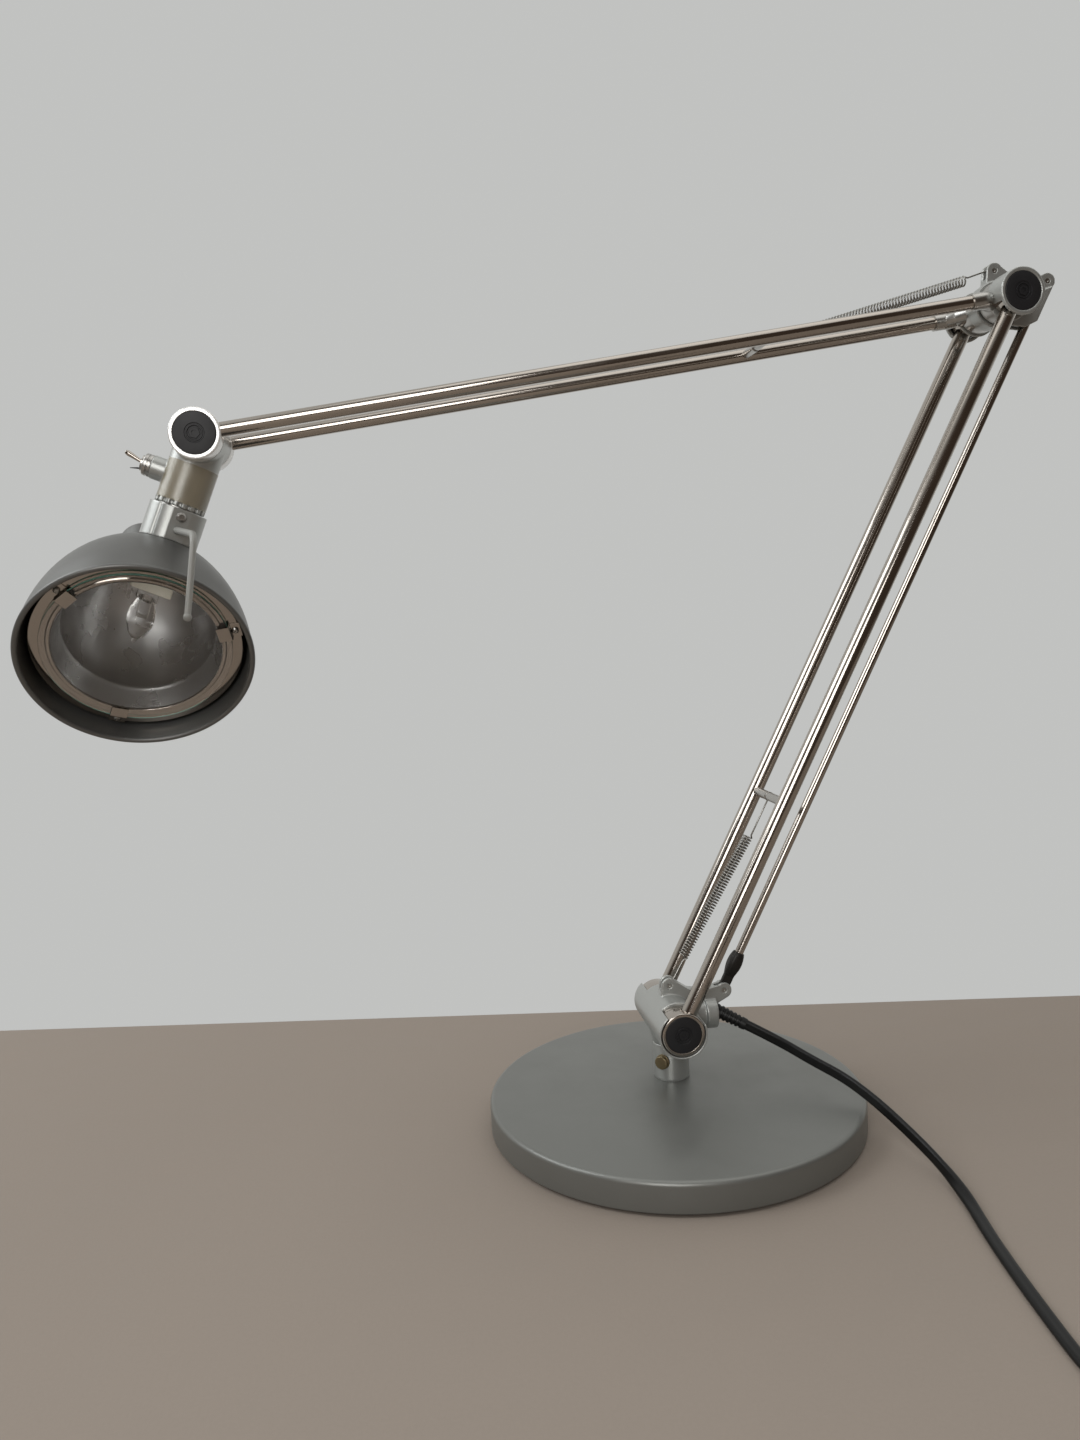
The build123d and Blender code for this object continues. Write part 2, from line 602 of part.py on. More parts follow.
# ---- Upper arm ----------------------------------------------------------------------------------

EYE_RADIUS = 12.4
EYE_BORE = BUSH_RADIUS + 1.5 + RUNNING_GAP
KNUCKLE_FROM = 15.6
KNUCKLE_TO = 27
HEAD_FACE_Y = 26.6
HEAD_FLOOR_Y = 14.4
HEAD_EYE_RADIUS = 13.9

for side, name in ((-1, "near"), (1, "far")):
    offset_y = across * side * UPPER_TUBE_Y
    with BuildPart() as upper_tube:
        arm_tube(elbow + offset_y + upper_dir * 19,
                 head + offset_y - upper_dir * 12.2, UPPER_TUBE_RADIUS)
        pin_hole = elbow + upper_dir * UPPER_PIN_AT
        cross_bar(pin_hole, 2, *sorted((0, side * UPPER_TUBE_Y)), Mode.SUBTRACT)
    save(upper_tube.part, f"upper_tube_{name}")

with BuildPart() as upper_elbow_hubs:
    for side in (-1, 1):
        knuckle_plane = Plane(origin=elbow + across * side * 6, x_dir=upper_dir,
                              z_dir=across * side)
        with BuildSketch(knuckle_plane) as web:
            Circle(EYE_RADIUS)
            Rectangle(KNUCKLE_TO, 10.4, align=(Align.MIN, Align.CENTER))
        extrude(web.sketch, amount=11.2)
        with BuildSketch(knuckle_plane) as knuckle:
            with Locations(((KNUCKLE_FROM + KNUCKLE_TO) / 2, 0)):
                RectangleRounded(KNUCKLE_TO - KNUCKLE_FROM, 10.4, 2)
        extrude(knuckle.sketch, amount=20.8)
        tube_axis = elbow + across * side * UPPER_TUBE_Y
        round_bar(tube_axis + upper_dir * 19, tube_axis + upper_dir * 40, UPPER_TUBE_RADIUS,
                  Mode.SUBTRACT)
        low, high = sorted((side * 5.4, side * CUP_FACE_Y))
        cross_bar(elbow, EYE_BORE, low, high, Mode.SUBTRACT)
save(upper_elbow_hubs.part, "upper_elbow_hubs")

with BuildPart() as upper_head_hubs:
    for side in (-1, 1):
        cross_bar(head, HEAD_EYE_RADIUS, *sorted((side * HEAD_FLOOR_Y, side * HEAD_FACE_Y)))
        tube_axis = head + across * side * UPPER_TUBE_Y
        round_bar(tube_axis - upper_dir * 12.2, tube_axis - upper_dir * 40, UPPER_TUBE_RADIUS,
                  Mode.SUBTRACT)
        cross_bar(head, BUSH_RADIUS, *sorted((side * HEAD_FLOOR_Y, side * HEAD_FACE_Y)),
                  Mode.SUBTRACT)
        cross_bar(head, 8, *sorted((side * 18, side * HEAD_FACE_Y)), Mode.SUBTRACT)
        cross_bar(head, 11.5, *sorted((side * 24.6, side * HEAD_FACE_Y)), Mode.SUBTRACT)
save(upper_head_hubs.part, "upper_head_hubs")

with BuildPart() as upper_cross_pin:
    cross_pin(upper_pin_centre, UPPER_TUBE_Y - UPPER_TUBE_RADIUS, 2.6)
save(upper_cross_pin.part, "upper_cross_pin")

with BuildPart() as head_caps:
    for side in (-1, 1):
        hub_cap(head, side, HEAD_FACE_Y, 2, 11.5)
save(head_caps.part, "head_caps")

with BuildPart() as head_bushes:
    for side in (-1, 1):
        cross_bar(head, BUSH_RADIUS, *sorted((side * HEAD_FLOOR_Y, side * 18)))
    cross_bar(head, AXLE_RADIUS + RUNNING_GAP, -HEAD_FACE_Y, HEAD_FACE_Y, Mode.SUBTRACT)
save(head_bushes.part, "head_bushes")

# ---- Head: neck, axle and switch ------------------------------------------------------------------

NECK_HALF_WIDTH = 14
SWITCH_AT = 23
switch_root = head + neck_dir * SWITCH_AT
SWITCH_BOSS_RADIUS = 6.6
SWITCH_BUSHING_RADIUS = 4.4
SWITCH_SEAT_RADIUS = 3.1

with BuildPart() as neck:
    cross_bar(head, NECK_RADIUS + 0.1, -NECK_HALF_WIDTH, NECK_HALF_WIDTH)
    round_bar(head, head + neck_dir * NECK_END, NECK_RADIUS)
    round_bar(switch_root, switch_root + ahead_of_neck * 20.5, SWITCH_BOSS_RADIUS)
    round_bar(head + neck_dir * 9, head + neck_dir * 60, NECK_BORE, Mode.SUBTRACT)
    round_bar(switch_root, switch_root + ahead_of_neck * 25, SWITCH_BUSHING_RADIUS,
              Mode.SUBTRACT)
    cross_bar(head, AXLE_RADIUS, -NECK_HALF_WIDTH, NECK_HALF_WIDTH, Mode.SUBTRACT)
    notch_plane = Plane(origin=head + neck_dir * NECK_END, x_dir=ahead_of_neck,
                        z_dir=neck_dir * -1)
    with BuildSketch(notch_plane) as notches:
        with PolarLocations(NECK_RADIUS, 18):
            Rectangle(3, 2.2)
    extrude(notches.sketch, amount=2.6, mode=Mode.SUBTRACT)
save(neck.part, "neck")

with BuildPart() as neck_sleeve:
    round_bar(head + neck_dir * 30, head + neck_dir * 60, NECK_BORE)
    round_bar(head + neck_dir * 30, head + neck_dir * 60, NECK_BORE - 1.5, Mode.SUBTRACT)
save(neck_sleeve.part, "neck_sleeve")

with BuildPart() as head_axle:
    cross_bar(head, AXLE_RADIUS, -23.6, 23.6)
save(head_axle.part, "head_axle")

with BuildPart() as head_axle_nuts:
    for low, high in ((-22.8, -18.4), (18.4, 22.8)):
        hex_bar(head + across * low, head + across * high, NUT_RADIUS)
    cross_bar(head, AXLE_RADIUS, -23.6, 23.6, Mode.SUBTRACT)
save(head_axle_nuts.part, "head_axle_nuts")

with BuildPart() as switch_body:
    round_bar(switch_root + ahead_of_neck * 2, switch_root + ahead_of_neck * 9.8, 5.6)
    round_bar(switch_root + ahead_of_neck * 9.8, switch_root + ahead_of_neck * 26.4,
              SWITCH_BUSHING_RADIUS)
    with Locations(Plane(origin=switch_root + ahead_of_neck * 24.4, z_dir=ahead_of_neck)):
        Sphere(SWITCH_SEAT_RADIUS, mode=Mode.SUBTRACT)
    round_bar(switch_root + ahead_of_neck * 24.4, switch_root + ahead_of_neck * 30,
              SWITCH_SEAT_RADIUS, Mode.SUBTRACT)
save(switch_body.part, "switch_body")

with BuildPart() as switch_nut:
    round_bar(switch_root + ahead_of_neck * 20.5, switch_root + ahead_of_neck * 24.9, 6.2)
    round_bar(switch_root + ahead_of_neck * 20, switch_root + ahead_of_neck * 26,
              SWITCH_BUSHING_RADIUS, Mode.SUBTRACT)
save(switch_nut.part, "switch_nut")

LEVER_TILT = 13
LEVER_BALL_RADIUS = 2.4
LEVER_PIN_RADIUS = 0.7
LEVER_PIN_HALF_LENGTH = 2.8
lever_pivot = switch_root + ahead_of_neck * 24.4
lever_dir = ahead_of_neck * cos(radians(LEVER_TILT)) - neck_dir * sin(radians(LEVER_TILT))
with BuildPart() as switch_lever:
    with Locations(lever_pivot):
        Sphere(LEVER_BALL_RADIUS)
    cross_bar(lever_pivot, LEVER_PIN_RADIUS, -LEVER_PIN_HALF_LENGTH, LEVER_PIN_HALF_LENGTH)
    lever_shape = Plane(origin=lever_pivot, z_dir=lever_dir)
    with Locations(lever_shape):
        Cone(1, 1.5, 11, align=UPRIGHT)
    with Locations(lever_pivot + lever_dir * 11):
        Sphere(1.5)
save(switch_lever.part, "switch_lever")

# ---- Shade, with its collar, reflector, glass, holder and bulb -------------------------------------

profile_plane = Plane(origin=mouth, x_dir=shade_side, z_dir=shade_side.cross(beam_dir * -1))
mouth_plane = Plane(origin=mouth, x_dir=shade_side, z_dir=beam_dir * -1)
shade_axis = Axis(mouth, beam_dir * -1)


def dome_points(radius, depth, base, count=9):
    """Points of a superellipse quarter, from the mouth to the pole."""
    points = []
    for step in range(count + 1):
        angle = radians(90 * step / count)
        x = radius * max(cos(angle), 0) ** (2 / SHADE_FULLNESS)
        y = base + depth * sin(angle) ** (2 / SHADE_FULLNESS)
        points.append((x, y))
    points[-1] = (0, base + depth)
    return points


def dome_face(radius, depth, base, mode=Mode.ADD):
    """Half of a dome's section, on the shade's profile plane."""
    with BuildLine() as outline:
        Spline(*dome_points(radius, depth, base), tangents=((0, 1), (-1, 0)))
        Line((0, base + depth), (0, base))
        Line((0, base), (radius, base))
    make_face(outline.edges(), mode=mode)


def dome_solid(radius, depth, base, mode=Mode.ADD):
    """A filled dome of revolution about the shade's axis."""
    with BuildSketch(profile_plane) as half:
        dome_face(radius, depth, base)
    revolve(half.sketch, axis=shade_axis, mode=mode)


CAP_RADIUS = 16.5
CAP_TOP = SHADE_DEPTH + 25
with BuildPart() as shade:
    with BuildSketch(profile_plane) as shell_profile:
        dome_face(MOUTH_RADIUS, SHADE_DEPTH, 0)
        with Locations((MOUTH_RADIUS - 0.6, 0.9)):
            Circle(LIP_RADIUS)
        dome_face(MOUTH_RADIUS - SHADE_WALL, SHADE_DEPTH - SHADE_WALL, 0, Mode.SUBTRACT)
    revolve(shell_profile.sketch, axis=shade_axis)
    round_bar(head + neck_dir * COLLAR_START, shade_middle, SHADE_HOLE_RADIUS, Mode.SUBTRACT)
save(shade.part, "shade")

with BuildPart() as shade_cap:
    with BuildSketch(mouth_plane.offset(SHADE_DEPTH - 12)) as cap_round:
        Circle(CAP_RADIUS)
    extrude(cap_round.sketch, amount=CAP_TOP - SHADE_DEPTH + 12)
    fillet(shade_cap.edges().sort_by(shade_axis)[-1], 4)
    dome_solid(MOUTH_RADIUS, SHADE_DEPTH, 0, Mode.SUBTRACT)
    with BuildSketch(mouth_plane.offset(SHADE_DEPTH)) as cap_hollow:
        Circle(CAP_RADIUS - SHADE_WALL)
    extrude(cap_hollow.sketch, amount=CAP_TOP - SHADE_DEPTH - SHADE_WALL, mode=Mode.SUBTRACT)
save(shade_cap.part, "shade_cap")

flat_plane = Plane(origin=head + neck_dir * COLLAR_START + shade_front * 15, x_dir=shade_side,
                   z_dir=shade_front)
HANDLE_AT = 52
SCREW_AT = 44.5
handle_root = head + neck_dir * HANDLE_AT + shade_front * (NECK_BORE + 1.6)
with BuildPart() as collar:
    round_bar(head + neck_dir * COLLAR_START, head + neck_dir * COLLAR_END, COLLAR_RADIUS)
    with BuildSketch(flat_plane) as flat_cut:
        Rectangle(60, 100)
    extrude(flat_cut.sketch, amount=10, mode=Mode.SUBTRACT)
    groove_at = head + ahead_of_neck * 7 - across * 14.8
    round_bar(groove_at + neck_dir * COLLAR_START, groove_at + neck_dir * COLLAR_END, 1.1,
              Mode.SUBTRACT)
    dome_solid(MOUTH_RADIUS, SHADE_DEPTH, 0, Mode.SUBTRACT)
    round_bar(head + neck_dir * COLLAR_START, head + neck_dir * COLLAR_END,
              NECK_BORE + RUNNING_GAP, Mode.SUBTRACT)
    screw_hole = head + neck_dir * SCREW_AT
    round_bar(screw_hole, screw_hole + shade_front * 20, 1.5, Mode.SUBTRACT)
    round_bar(handle_root, handle_root + shade_front * 20, 1.7, Mode.SUBTRACT)
save(collar.part, "collar")

with BuildPart() as collar_screw:
    round_bar(screw_hole + shade_front * (NECK_BORE + 0.3), screw_hole + shade_front * 15, 1.5)
    round_bar(screw_hole + shade_front * 15, screw_hole + shade_front * 16.8, 2.7)
    fillet(collar_screw.edges().sort_by(Axis(screw_hole, shade_front))[-1], 1)
save(collar_screw.part, "collar_screw")

handle_corner = handle_root + shade_front * 54
handle_end = Vector(-257.2, -72.2, 315.1)
with BuildPart() as handle_rod:
    with BuildLine():
        FilletPolyline(handle_root, handle_corner, handle_end, radius=8)
    with BuildSketch(Plane(origin=handle_root, z_dir=shade_front)):
        Circle(1.7)
    sweep()
    with Locations(handle_end):
        Sphere(2.2)
save(handle_rod.part, "handle_rod")

BOWL_RADIUS = 38
BOWL_BASE = 25
BOWL_DEPTH = 42
SHEET = 0.8
RING_INNER = 44
RING_OUTER = 55.5
holder_from = head + neck_dir * 62
holder_to = head + neck_dir * 95

with BuildPart() as reflector:
    with BuildSketch(profile_plane) as reflector_profile:
        with BuildLine():
            Polyline((RING_INNER + 4, RING_DEPTH + 1.2), (RING_INNER, RING_DEPTH + 1.2),
                     (BOWL_RADIUS, BOWL_BASE))
            Spline(*dome_points(BOWL_RADIUS, BOWL_DEPTH, BOWL_BASE),
                   tangents=((0, 1), (-1, 0)))
            Line((0, BOWL_BASE + BOWL_DEPTH), (0, BOWL_BASE + BOWL_DEPTH + SHEET))
            Spline(*dome_points(BOWL_RADIUS + SHEET, BOWL_DEPTH + SHEET, BOWL_BASE)[::-1],
                   tangents=((1, 0), (0, -1)))
            Polyline((BOWL_RADIUS + SHEET, BOWL_BASE),
                     (RING_INNER + SHEET, RING_DEPTH + 1.2 + SHEET),
                     (RING_INNER + 4, RING_DEPTH + 1.2 + SHEET),
                     (RING_INNER + 4, RING_DEPTH + 1.2))
        make_face()
    revolve(reflector_profile.sketch, axis=shade_axis)
    round_bar(holder_from, shade_middle, 12.6, Mode.SUBTRACT)
save(reflector.part, "reflector")

with BuildPart() as glass_ring:
    with BuildSketch(mouth_plane.offset(RING_DEPTH)) as ring_shape:
        Circle(RING_OUTER)
        Circle(RING_INNER, mode=Mode.SUBTRACT)
    extrude(ring_shape.sketch, amount=1.2)
    fillet(glass_ring.edges().filter_by(GeomType.CIRCLE), 0.4)
save(glass_ring.part, "glass_ring")

with BuildPart() as ring_posts:
    with BuildSketch(mouth_plane.offset(RING_DEPTH + 1.2)) as post_shape:
        with PolarLocations(52, 3, start_angle=75):
            Circle(2.5)
    extrude(post_shape.sketch, amount=40)
    with BuildPart(mode=Mode.PRIVATE) as inside:
        dome_solid(MOUTH_RADIUS - SHADE_WALL, SHADE_DEPTH - SHADE_WALL, 0)
    add(inside.part, mode=Mode.INTERSECT)
save(ring_posts.part, "ring_posts")

GLASS_RADIUS = 50
GLASS_THICKNESS = 3
with BuildPart() as cover_glass:
    with BuildSketch(mouth_plane.offset(RING_DEPTH - GLASS_THICKNESS)) as glass_shape:
        Circle(GLASS_RADIUS)
    extrude(glass_shape.sketch, amount=GLASS_THICKNESS)
    fillet(cover_glass.edges(), 0.6)
save(cover_glass.part, "cover_glass")

CLIP_ANGLES = (37, 157, 277)
CLIP_SHEET = 0.6
CLIP_WIDTH = 9


def clip_direction(angle):
    """Radial direction of a clip, in the plane of the mouth."""
    upward = beam_dir.cross(shade_side)
    return shade_side * cos(radians(angle)) + upward * sin(radians(angle))


with BuildPart() as glass_clips:
    for angle in CLIP_ANGLES:
        radial = clip_direction(angle)
        clip_plane = Plane(origin=mouth, x_dir=radial, z_dir=radial.cross(beam_dir * -1))
        with BuildSketch(clip_plane) as clip_profile:
            with BuildLine():
                Polyline((55, RING_DEPTH), (GLASS_RADIUS + 0.2, RING_DEPTH),
                         (GLASS_RADIUS + 0.2, 8), (43.5, 8), (43.5, 8 - CLIP_SHEET),
                         (GLASS_RADIUS + 0.8, 8 - CLIP_SHEET),
                         (GLASS_RADIUS + 0.8, RING_DEPTH - CLIP_SHEET),
                         (55, RING_DEPTH - CLIP_SHEET), close=True)
            make_face()
        extrude(clip_profile.sketch, amount=CLIP_WIDTH / 2, both=True)
save(glass_clips.part, "glass_clips")

with BuildPart() as clip_screws:
    for angle in CLIP_ANGLES:
        seat = mouth + clip_direction(angle) * 53 - beam_dir * (RING_DEPTH - CLIP_SHEET)
        round_bar(seat, seat + beam_dir * 1.4, 1.9)
save(clip_screws.part, "clip_screws")

with BuildPart() as lamp_holder:
    round_bar(holder_from, head + neck_dir * 80, 9)
    round_bar(holder_from - neck_dir, holder_from + neck_dir * 2, NECK_BORE + RUNNING_GAP)
    block_plane = Plane(origin=head + neck_dir * 79, x_dir=shade_side, z_dir=neck_dir)
    with BuildSketch(block_plane) as block:
        RectangleRounded(20, 13, 1)
    extrude(block.sketch, amount=16)
save(lamp_holder.part, "lamp_holder")

BULB_RADIUS = 6.8
bulb_base = head + neck_dir * 95
with BuildPart() as bulb:
    with Locations(Plane(origin=bulb_base, x_dir=shade_side, z_dir=neck_dir)):
        Box(11, 5, 5, align=UPRIGHT)
    with BuildSketch(Plane(origin=bulb_base + neck_dir * 3, x_dir=shade_side,
                           z_dir=shade_side.cross(neck_dir))) as capsule:
        with BuildLine():
            Line((0, 0), (4.2, 0))
            Spline((4.2, 0), (BULB_RADIUS, 9), (1.2, 21.4), tangents=((1, 1), (-1, 0.6)))
            Line((1.2, 21.4), (0, 23))
            Line((0, 23), (0, 0))
        make_face()
    revolve(capsule.sketch, axis=Axis(bulb_base, neck_dir))
save(bulb.part, "bulb")
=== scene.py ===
import json
from math import cos, pi, radians, sin, tan

import bmesh
import bpy
from mathutils import Matrix, Vector


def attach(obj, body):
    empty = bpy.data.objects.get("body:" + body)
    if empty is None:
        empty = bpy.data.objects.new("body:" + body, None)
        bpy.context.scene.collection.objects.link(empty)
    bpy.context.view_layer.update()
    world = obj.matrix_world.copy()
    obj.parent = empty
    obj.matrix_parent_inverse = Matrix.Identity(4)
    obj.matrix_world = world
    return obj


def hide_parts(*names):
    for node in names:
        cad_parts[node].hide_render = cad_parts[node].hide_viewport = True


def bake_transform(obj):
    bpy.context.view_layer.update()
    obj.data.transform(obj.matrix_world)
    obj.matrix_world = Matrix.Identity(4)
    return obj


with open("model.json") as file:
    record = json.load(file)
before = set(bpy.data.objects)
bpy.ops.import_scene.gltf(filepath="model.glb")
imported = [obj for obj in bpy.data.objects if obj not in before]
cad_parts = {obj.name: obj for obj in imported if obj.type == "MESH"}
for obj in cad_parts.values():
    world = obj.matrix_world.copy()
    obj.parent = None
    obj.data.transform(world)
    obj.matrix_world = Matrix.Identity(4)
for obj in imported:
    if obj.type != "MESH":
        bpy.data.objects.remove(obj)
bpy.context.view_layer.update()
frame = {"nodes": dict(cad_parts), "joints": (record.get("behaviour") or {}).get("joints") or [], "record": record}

# Architect desk lamp. Shapes are worked out in millimetres in the CAD frame, and scaled to metres
# when a mesh is made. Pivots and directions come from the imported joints.

MM = 0.001
joints = {joint["name"]: joint for joint in frame["joints"]}
slot_of = {part["node"]: part["material_slot"] for part in frame["record"]["subparts"]}


def pivot_of(joint):
    """A joint's pivot at rest."""
    return Vector(joints[joint]["pos_m"]) / MM


up = Vector((0, 0, 1))
across = Vector((0, 1, 0))
lower_pivot = pivot_of("lower_arm_hinge")
elbow = pivot_of("upper_arm_hinge")
head = pivot_of("head_hinge")
lever_pivot = pivot_of("switch_toggle")
neck_dir = Vector(joints["shade_swivel"]["axis"]).normalized()
lower_dir = (elbow - lower_pivot).normalized()
upper_dir = (head - elbow).normalized()
ahead_of_neck = across.cross(neck_dir)

BEAM_TILT = radians(57.1)
BEAM_TURN = radians(20.5)
shade_front = -across * cos(BEAM_TURN) - ahead_of_neck * sin(BEAM_TURN)
beam_dir = (neck_dir * cos(BEAM_TILT) + shade_front * sin(BEAM_TILT)).normalized()
shade_side = beam_dir.cross(neck_dir).normalized()
shade_up = beam_dir.cross(shade_side)
SHADE_CENTRE = 107.2
MOUTH_AHEAD = 33.3
mouth = head + neck_dir * SHADE_CENTRE + beam_dir * MOUTH_AHEAD

# ---- Camera ---------------------------------------------------------------------------------

CAMERA_PLACE = Vector((-160, -638.7, 306.1))
CAMERA_YAW = 0.1371
CAMERA_PITCH = 0.0935
CAMERA_ROLL = -0.0493
CAMERA_LENS = 27.2

forward = Vector((sin(CAMERA_YAW) * cos(CAMERA_PITCH), cos(CAMERA_YAW) * cos(CAMERA_PITCH),
                  -sin(CAMERA_PITCH)))
level_right = Vector((cos(CAMERA_YAW), -sin(CAMERA_YAW), 0))
level_up = level_right.cross(forward)
camera_right = level_right * cos(CAMERA_ROLL) + level_up * sin(CAMERA_ROLL)
camera_up = level_up * cos(CAMERA_ROLL) - level_right * sin(CAMERA_ROLL)
camera = bpy.data.objects.new("camera", bpy.data.cameras.new("camera"))
camera.data.lens = CAMERA_LENS
camera.data.sensor_width = 36
turned_camera = Matrix((camera_right, camera_up, -forward)).transposed().to_4x4()
camera.matrix_world = Matrix.Translation(CAMERA_PLACE * MM) @ turned_camera
bpy.context.scene.collection.objects.link(camera)
bpy.context.scene.camera = camera

# ---- Shape helpers. A shape is (points, faces), in millimetres ----------------------------------


def rounded(outline, steps=5):
    """An open line in which each corner that gives a radius becomes an arc of that radius.

    A corner is (point, radius); a plain point stays as it is."""
    corners = [(Vector(c[0]), c[1]) if isinstance(c, tuple) and isinstance(c[0], (tuple, Vector))
               else (Vector(c), 0) for c in outline]
    line = []
    for index, (corner, radius) in enumerate(corners):
        if not radius or index in (0, len(corners) - 1):
            line.append(corner)
            continue
        before = (corners[index - 1][0] - corner).normalized()
        after = (corners[index + 1][0] - corner).normalized()
        half = before.angle(after) / 2
        centre = corner + (before + after).normalized() * radius / sin(half)
        start = corner + before * radius / tan(half) - centre
        end = corner + after * radius / tan(half) - centre
        spread = start.angle(end)
        for step in range(steps + 1):
            share = step / steps
            swing = start * sin((1 - share) * spread) + end * sin(share * spread)
            line.append(centre + swing / sin(spread))
    return line


def turned(origin, axis, outline, segments=72, closed=True):
    """An outline of (radius, height) points turned about an axis."""
    up = Vector(axis).normalized()
    side = up.orthogonal().normalized()
    other = up.cross(side)
    points, rings, faces = [], [], []
    for radius, height in (tuple(p)[:2] for p in outline):
        centre = Vector(origin) + up * height
        if radius < 1e-6:
            rings.append([len(points)])
            points.append(centre)
            continue
        rings.append(list(range(len(points), len(points) + segments)))
        for step in range(segments):
            angle = 2 * pi * step / segments
            points.append(centre + (side * cos(angle) + other * sin(angle)) * radius)
    following = rings[1:] + rings[:1] if closed else rings[1:]
    for low, high in zip(rings, following):
        for step in range(segments):
            after = (step + 1) % segments
            if len(low) == 1 and len(high) == 1:
                continue
            if len(low) == 1:
                faces.append((low[0], high[after], high[step]))
            elif len(high) == 1:
                faces.append((low[step], low[after], high[0]))
            else:
                faces.append((low[step], low[after], high[after], high[step]))
    return points, faces


def bar(start, end, radius, bevel=0.4, segments=48):
    """A round bar with softened ends."""
    run = Vector(end) - Vector(start)
    outline = rounded([(0, 0), ((radius, 0), bevel), ((radius, run.length), bevel),
                       (0, run.length)], 3)
    return turned(start, run, outline, segments, closed=False)


def ring_section(radius, sides=10):
    """A round section."""
    return [(radius * cos(2 * pi * k / sides), radius * sin(2 * pi * k / sides))
            for k in range(sides)]


def flat_section(half_wide, half_thick):
    """A rectangular section."""
    return [(-half_wide, -half_thick), (half_wide, -half_thick), (half_wide, half_thick),
            (-half_wide, half_thick)]


def eased(share):
    """A share from 0 to 1 that starts and ends gently."""
    return share * share * (3 - 2 * share)


def tapered(share):
    """The scale of a rod that is a little thicker at its start."""
    return 1.15 - 0.15 * share


def swept(path, section, wide_at=None, scale_at=None):
    """A section of (wide, thick) points carried along a path, with closed ends.

    wide_at(share, direction) gives the wide direction; without it the section isn't twisted."""
    count = len(path)
    points, faces = [], []
    wide = None
    for index, place in enumerate(path):
        before, after = path[max(index - 1, 0)], path[min(index + 1, count - 1)]
        direction = (after - before).normalized()
        share = index / (count - 1)
        if wide_at:
            wide = wide_at(share, direction)
        elif wide is None:
            wide = direction.orthogonal()
        wide = (wide - direction * wide.dot(direction)).normalized()
        thick = direction.cross(wide)
        scale = scale_at(share) if scale_at else 1
        points.extend(place + (wide * x + thick * y) * scale for x, y in section)
    sides = len(section)
    for index in range(count - 1):
        for k in range(sides):
            low, after = index * sides + k, index * sides + (k + 1) % sides
            faces.append((low, after, after + sides, low + sides))
    faces.append(tuple(reversed(range(sides))))
    faces.append(tuple(range((count - 1) * sides, count * sides)))
    return points, faces


def block(centre, x_dir, y_dir, size):
    """A box about a centre."""
    z_dir = Vector(x_dir).cross(y_dir).normalized()
    half = [Vector(d).normalized() * s / 2 for d, s in zip((x_dir, y_dir, z_dir), size)]
    points = [Vector(centre) + half[0] * i + half[1] * j + half[2] * k
              for i in (-1, 1) for j in (-1, 1) for k in (-1, 1)]
    return points, [(0, 1, 3, 2), (4, 6, 7, 5), (0, 4, 5, 1), (2, 3, 7, 6), (0, 2, 6, 4),
                    (1, 5, 7, 3)]


def make(name, *shapes, sharp=40):
    """One object from several shapes."""
    points, faces = [], []
    for shape_points, shape_faces in shapes:
        start = len(points)
        points.extend(tuple(Vector(p) * MM) for p in shape_points)
        faces.extend(tuple(start + i for i in face) for face in shape_faces)
    mesh = bpy.data.meshes.new(name)
    mesh.from_pydata(points, [], faces)
    return dressed(bpy.data.objects.new(name, mesh), sharp, link=True)


def dressed(piece, sharp=40, link=False):
    """Outward normals, smooth faces and sharp edges."""
    if link:
        bpy.context.scene.collection.objects.link(piece)
    work = bmesh.new()
    work.from_mesh(piece.data)
    bmesh.ops.remove_doubles(work, verts=work.verts, dist=1e-7)
    bmesh.ops.recalc_face_normals(work, faces=work.faces)
    work.to_mesh(piece.data)
    work.free()
    piece.data.shade_smooth()
    piece.data.set_sharp_from_angle(angle=radians(sharp))
    return piece


def settle(piece):
    """Apply a piece's modifiers to its mesh."""
    graph = bpy.context.evaluated_depsgraph_get()
    mesh = bpy.data.meshes.new_from_object(piece.evaluated_get(graph))
    piece.modifiers.clear()
    piece.data = mesh
    return piece


def cut(piece, *shapes, sharp=40):
    """Take shapes out of a piece."""
    for shape in shapes:
        tool = make("tool", shape)
        boolean = piece.modifiers.new("cut", "BOOLEAN")
        boolean.object = tool
        boolean.solver = "EXACT"
        settle(piece)
        bpy.data.objects.remove(tool)
    return dressed(piece, sharp)


def softened(name, node, voxel=0.5, passes=3):
    """A casting: the node's own shape with every edge softly rounded."""
    piece = bpy.data.objects.new(name, frame["nodes"][node].data.copy())
    piece.data.materials.clear()
    dressed(piece, link=True)
    remesh = piece.modifiers.new("cast", "REMESH")
    remesh.mode = "VOXEL"
    remesh.voxel_size = voxel * MM
    smooth = piece.modifiers.new("soften", "SMOOTH")
    smooth.factor = 0.5
    smooth.iterations = passes
    settle(piece)
    piece.data.shade_smooth()
    return piece


# ---- Materials ------------------------------------------------------------------------------------


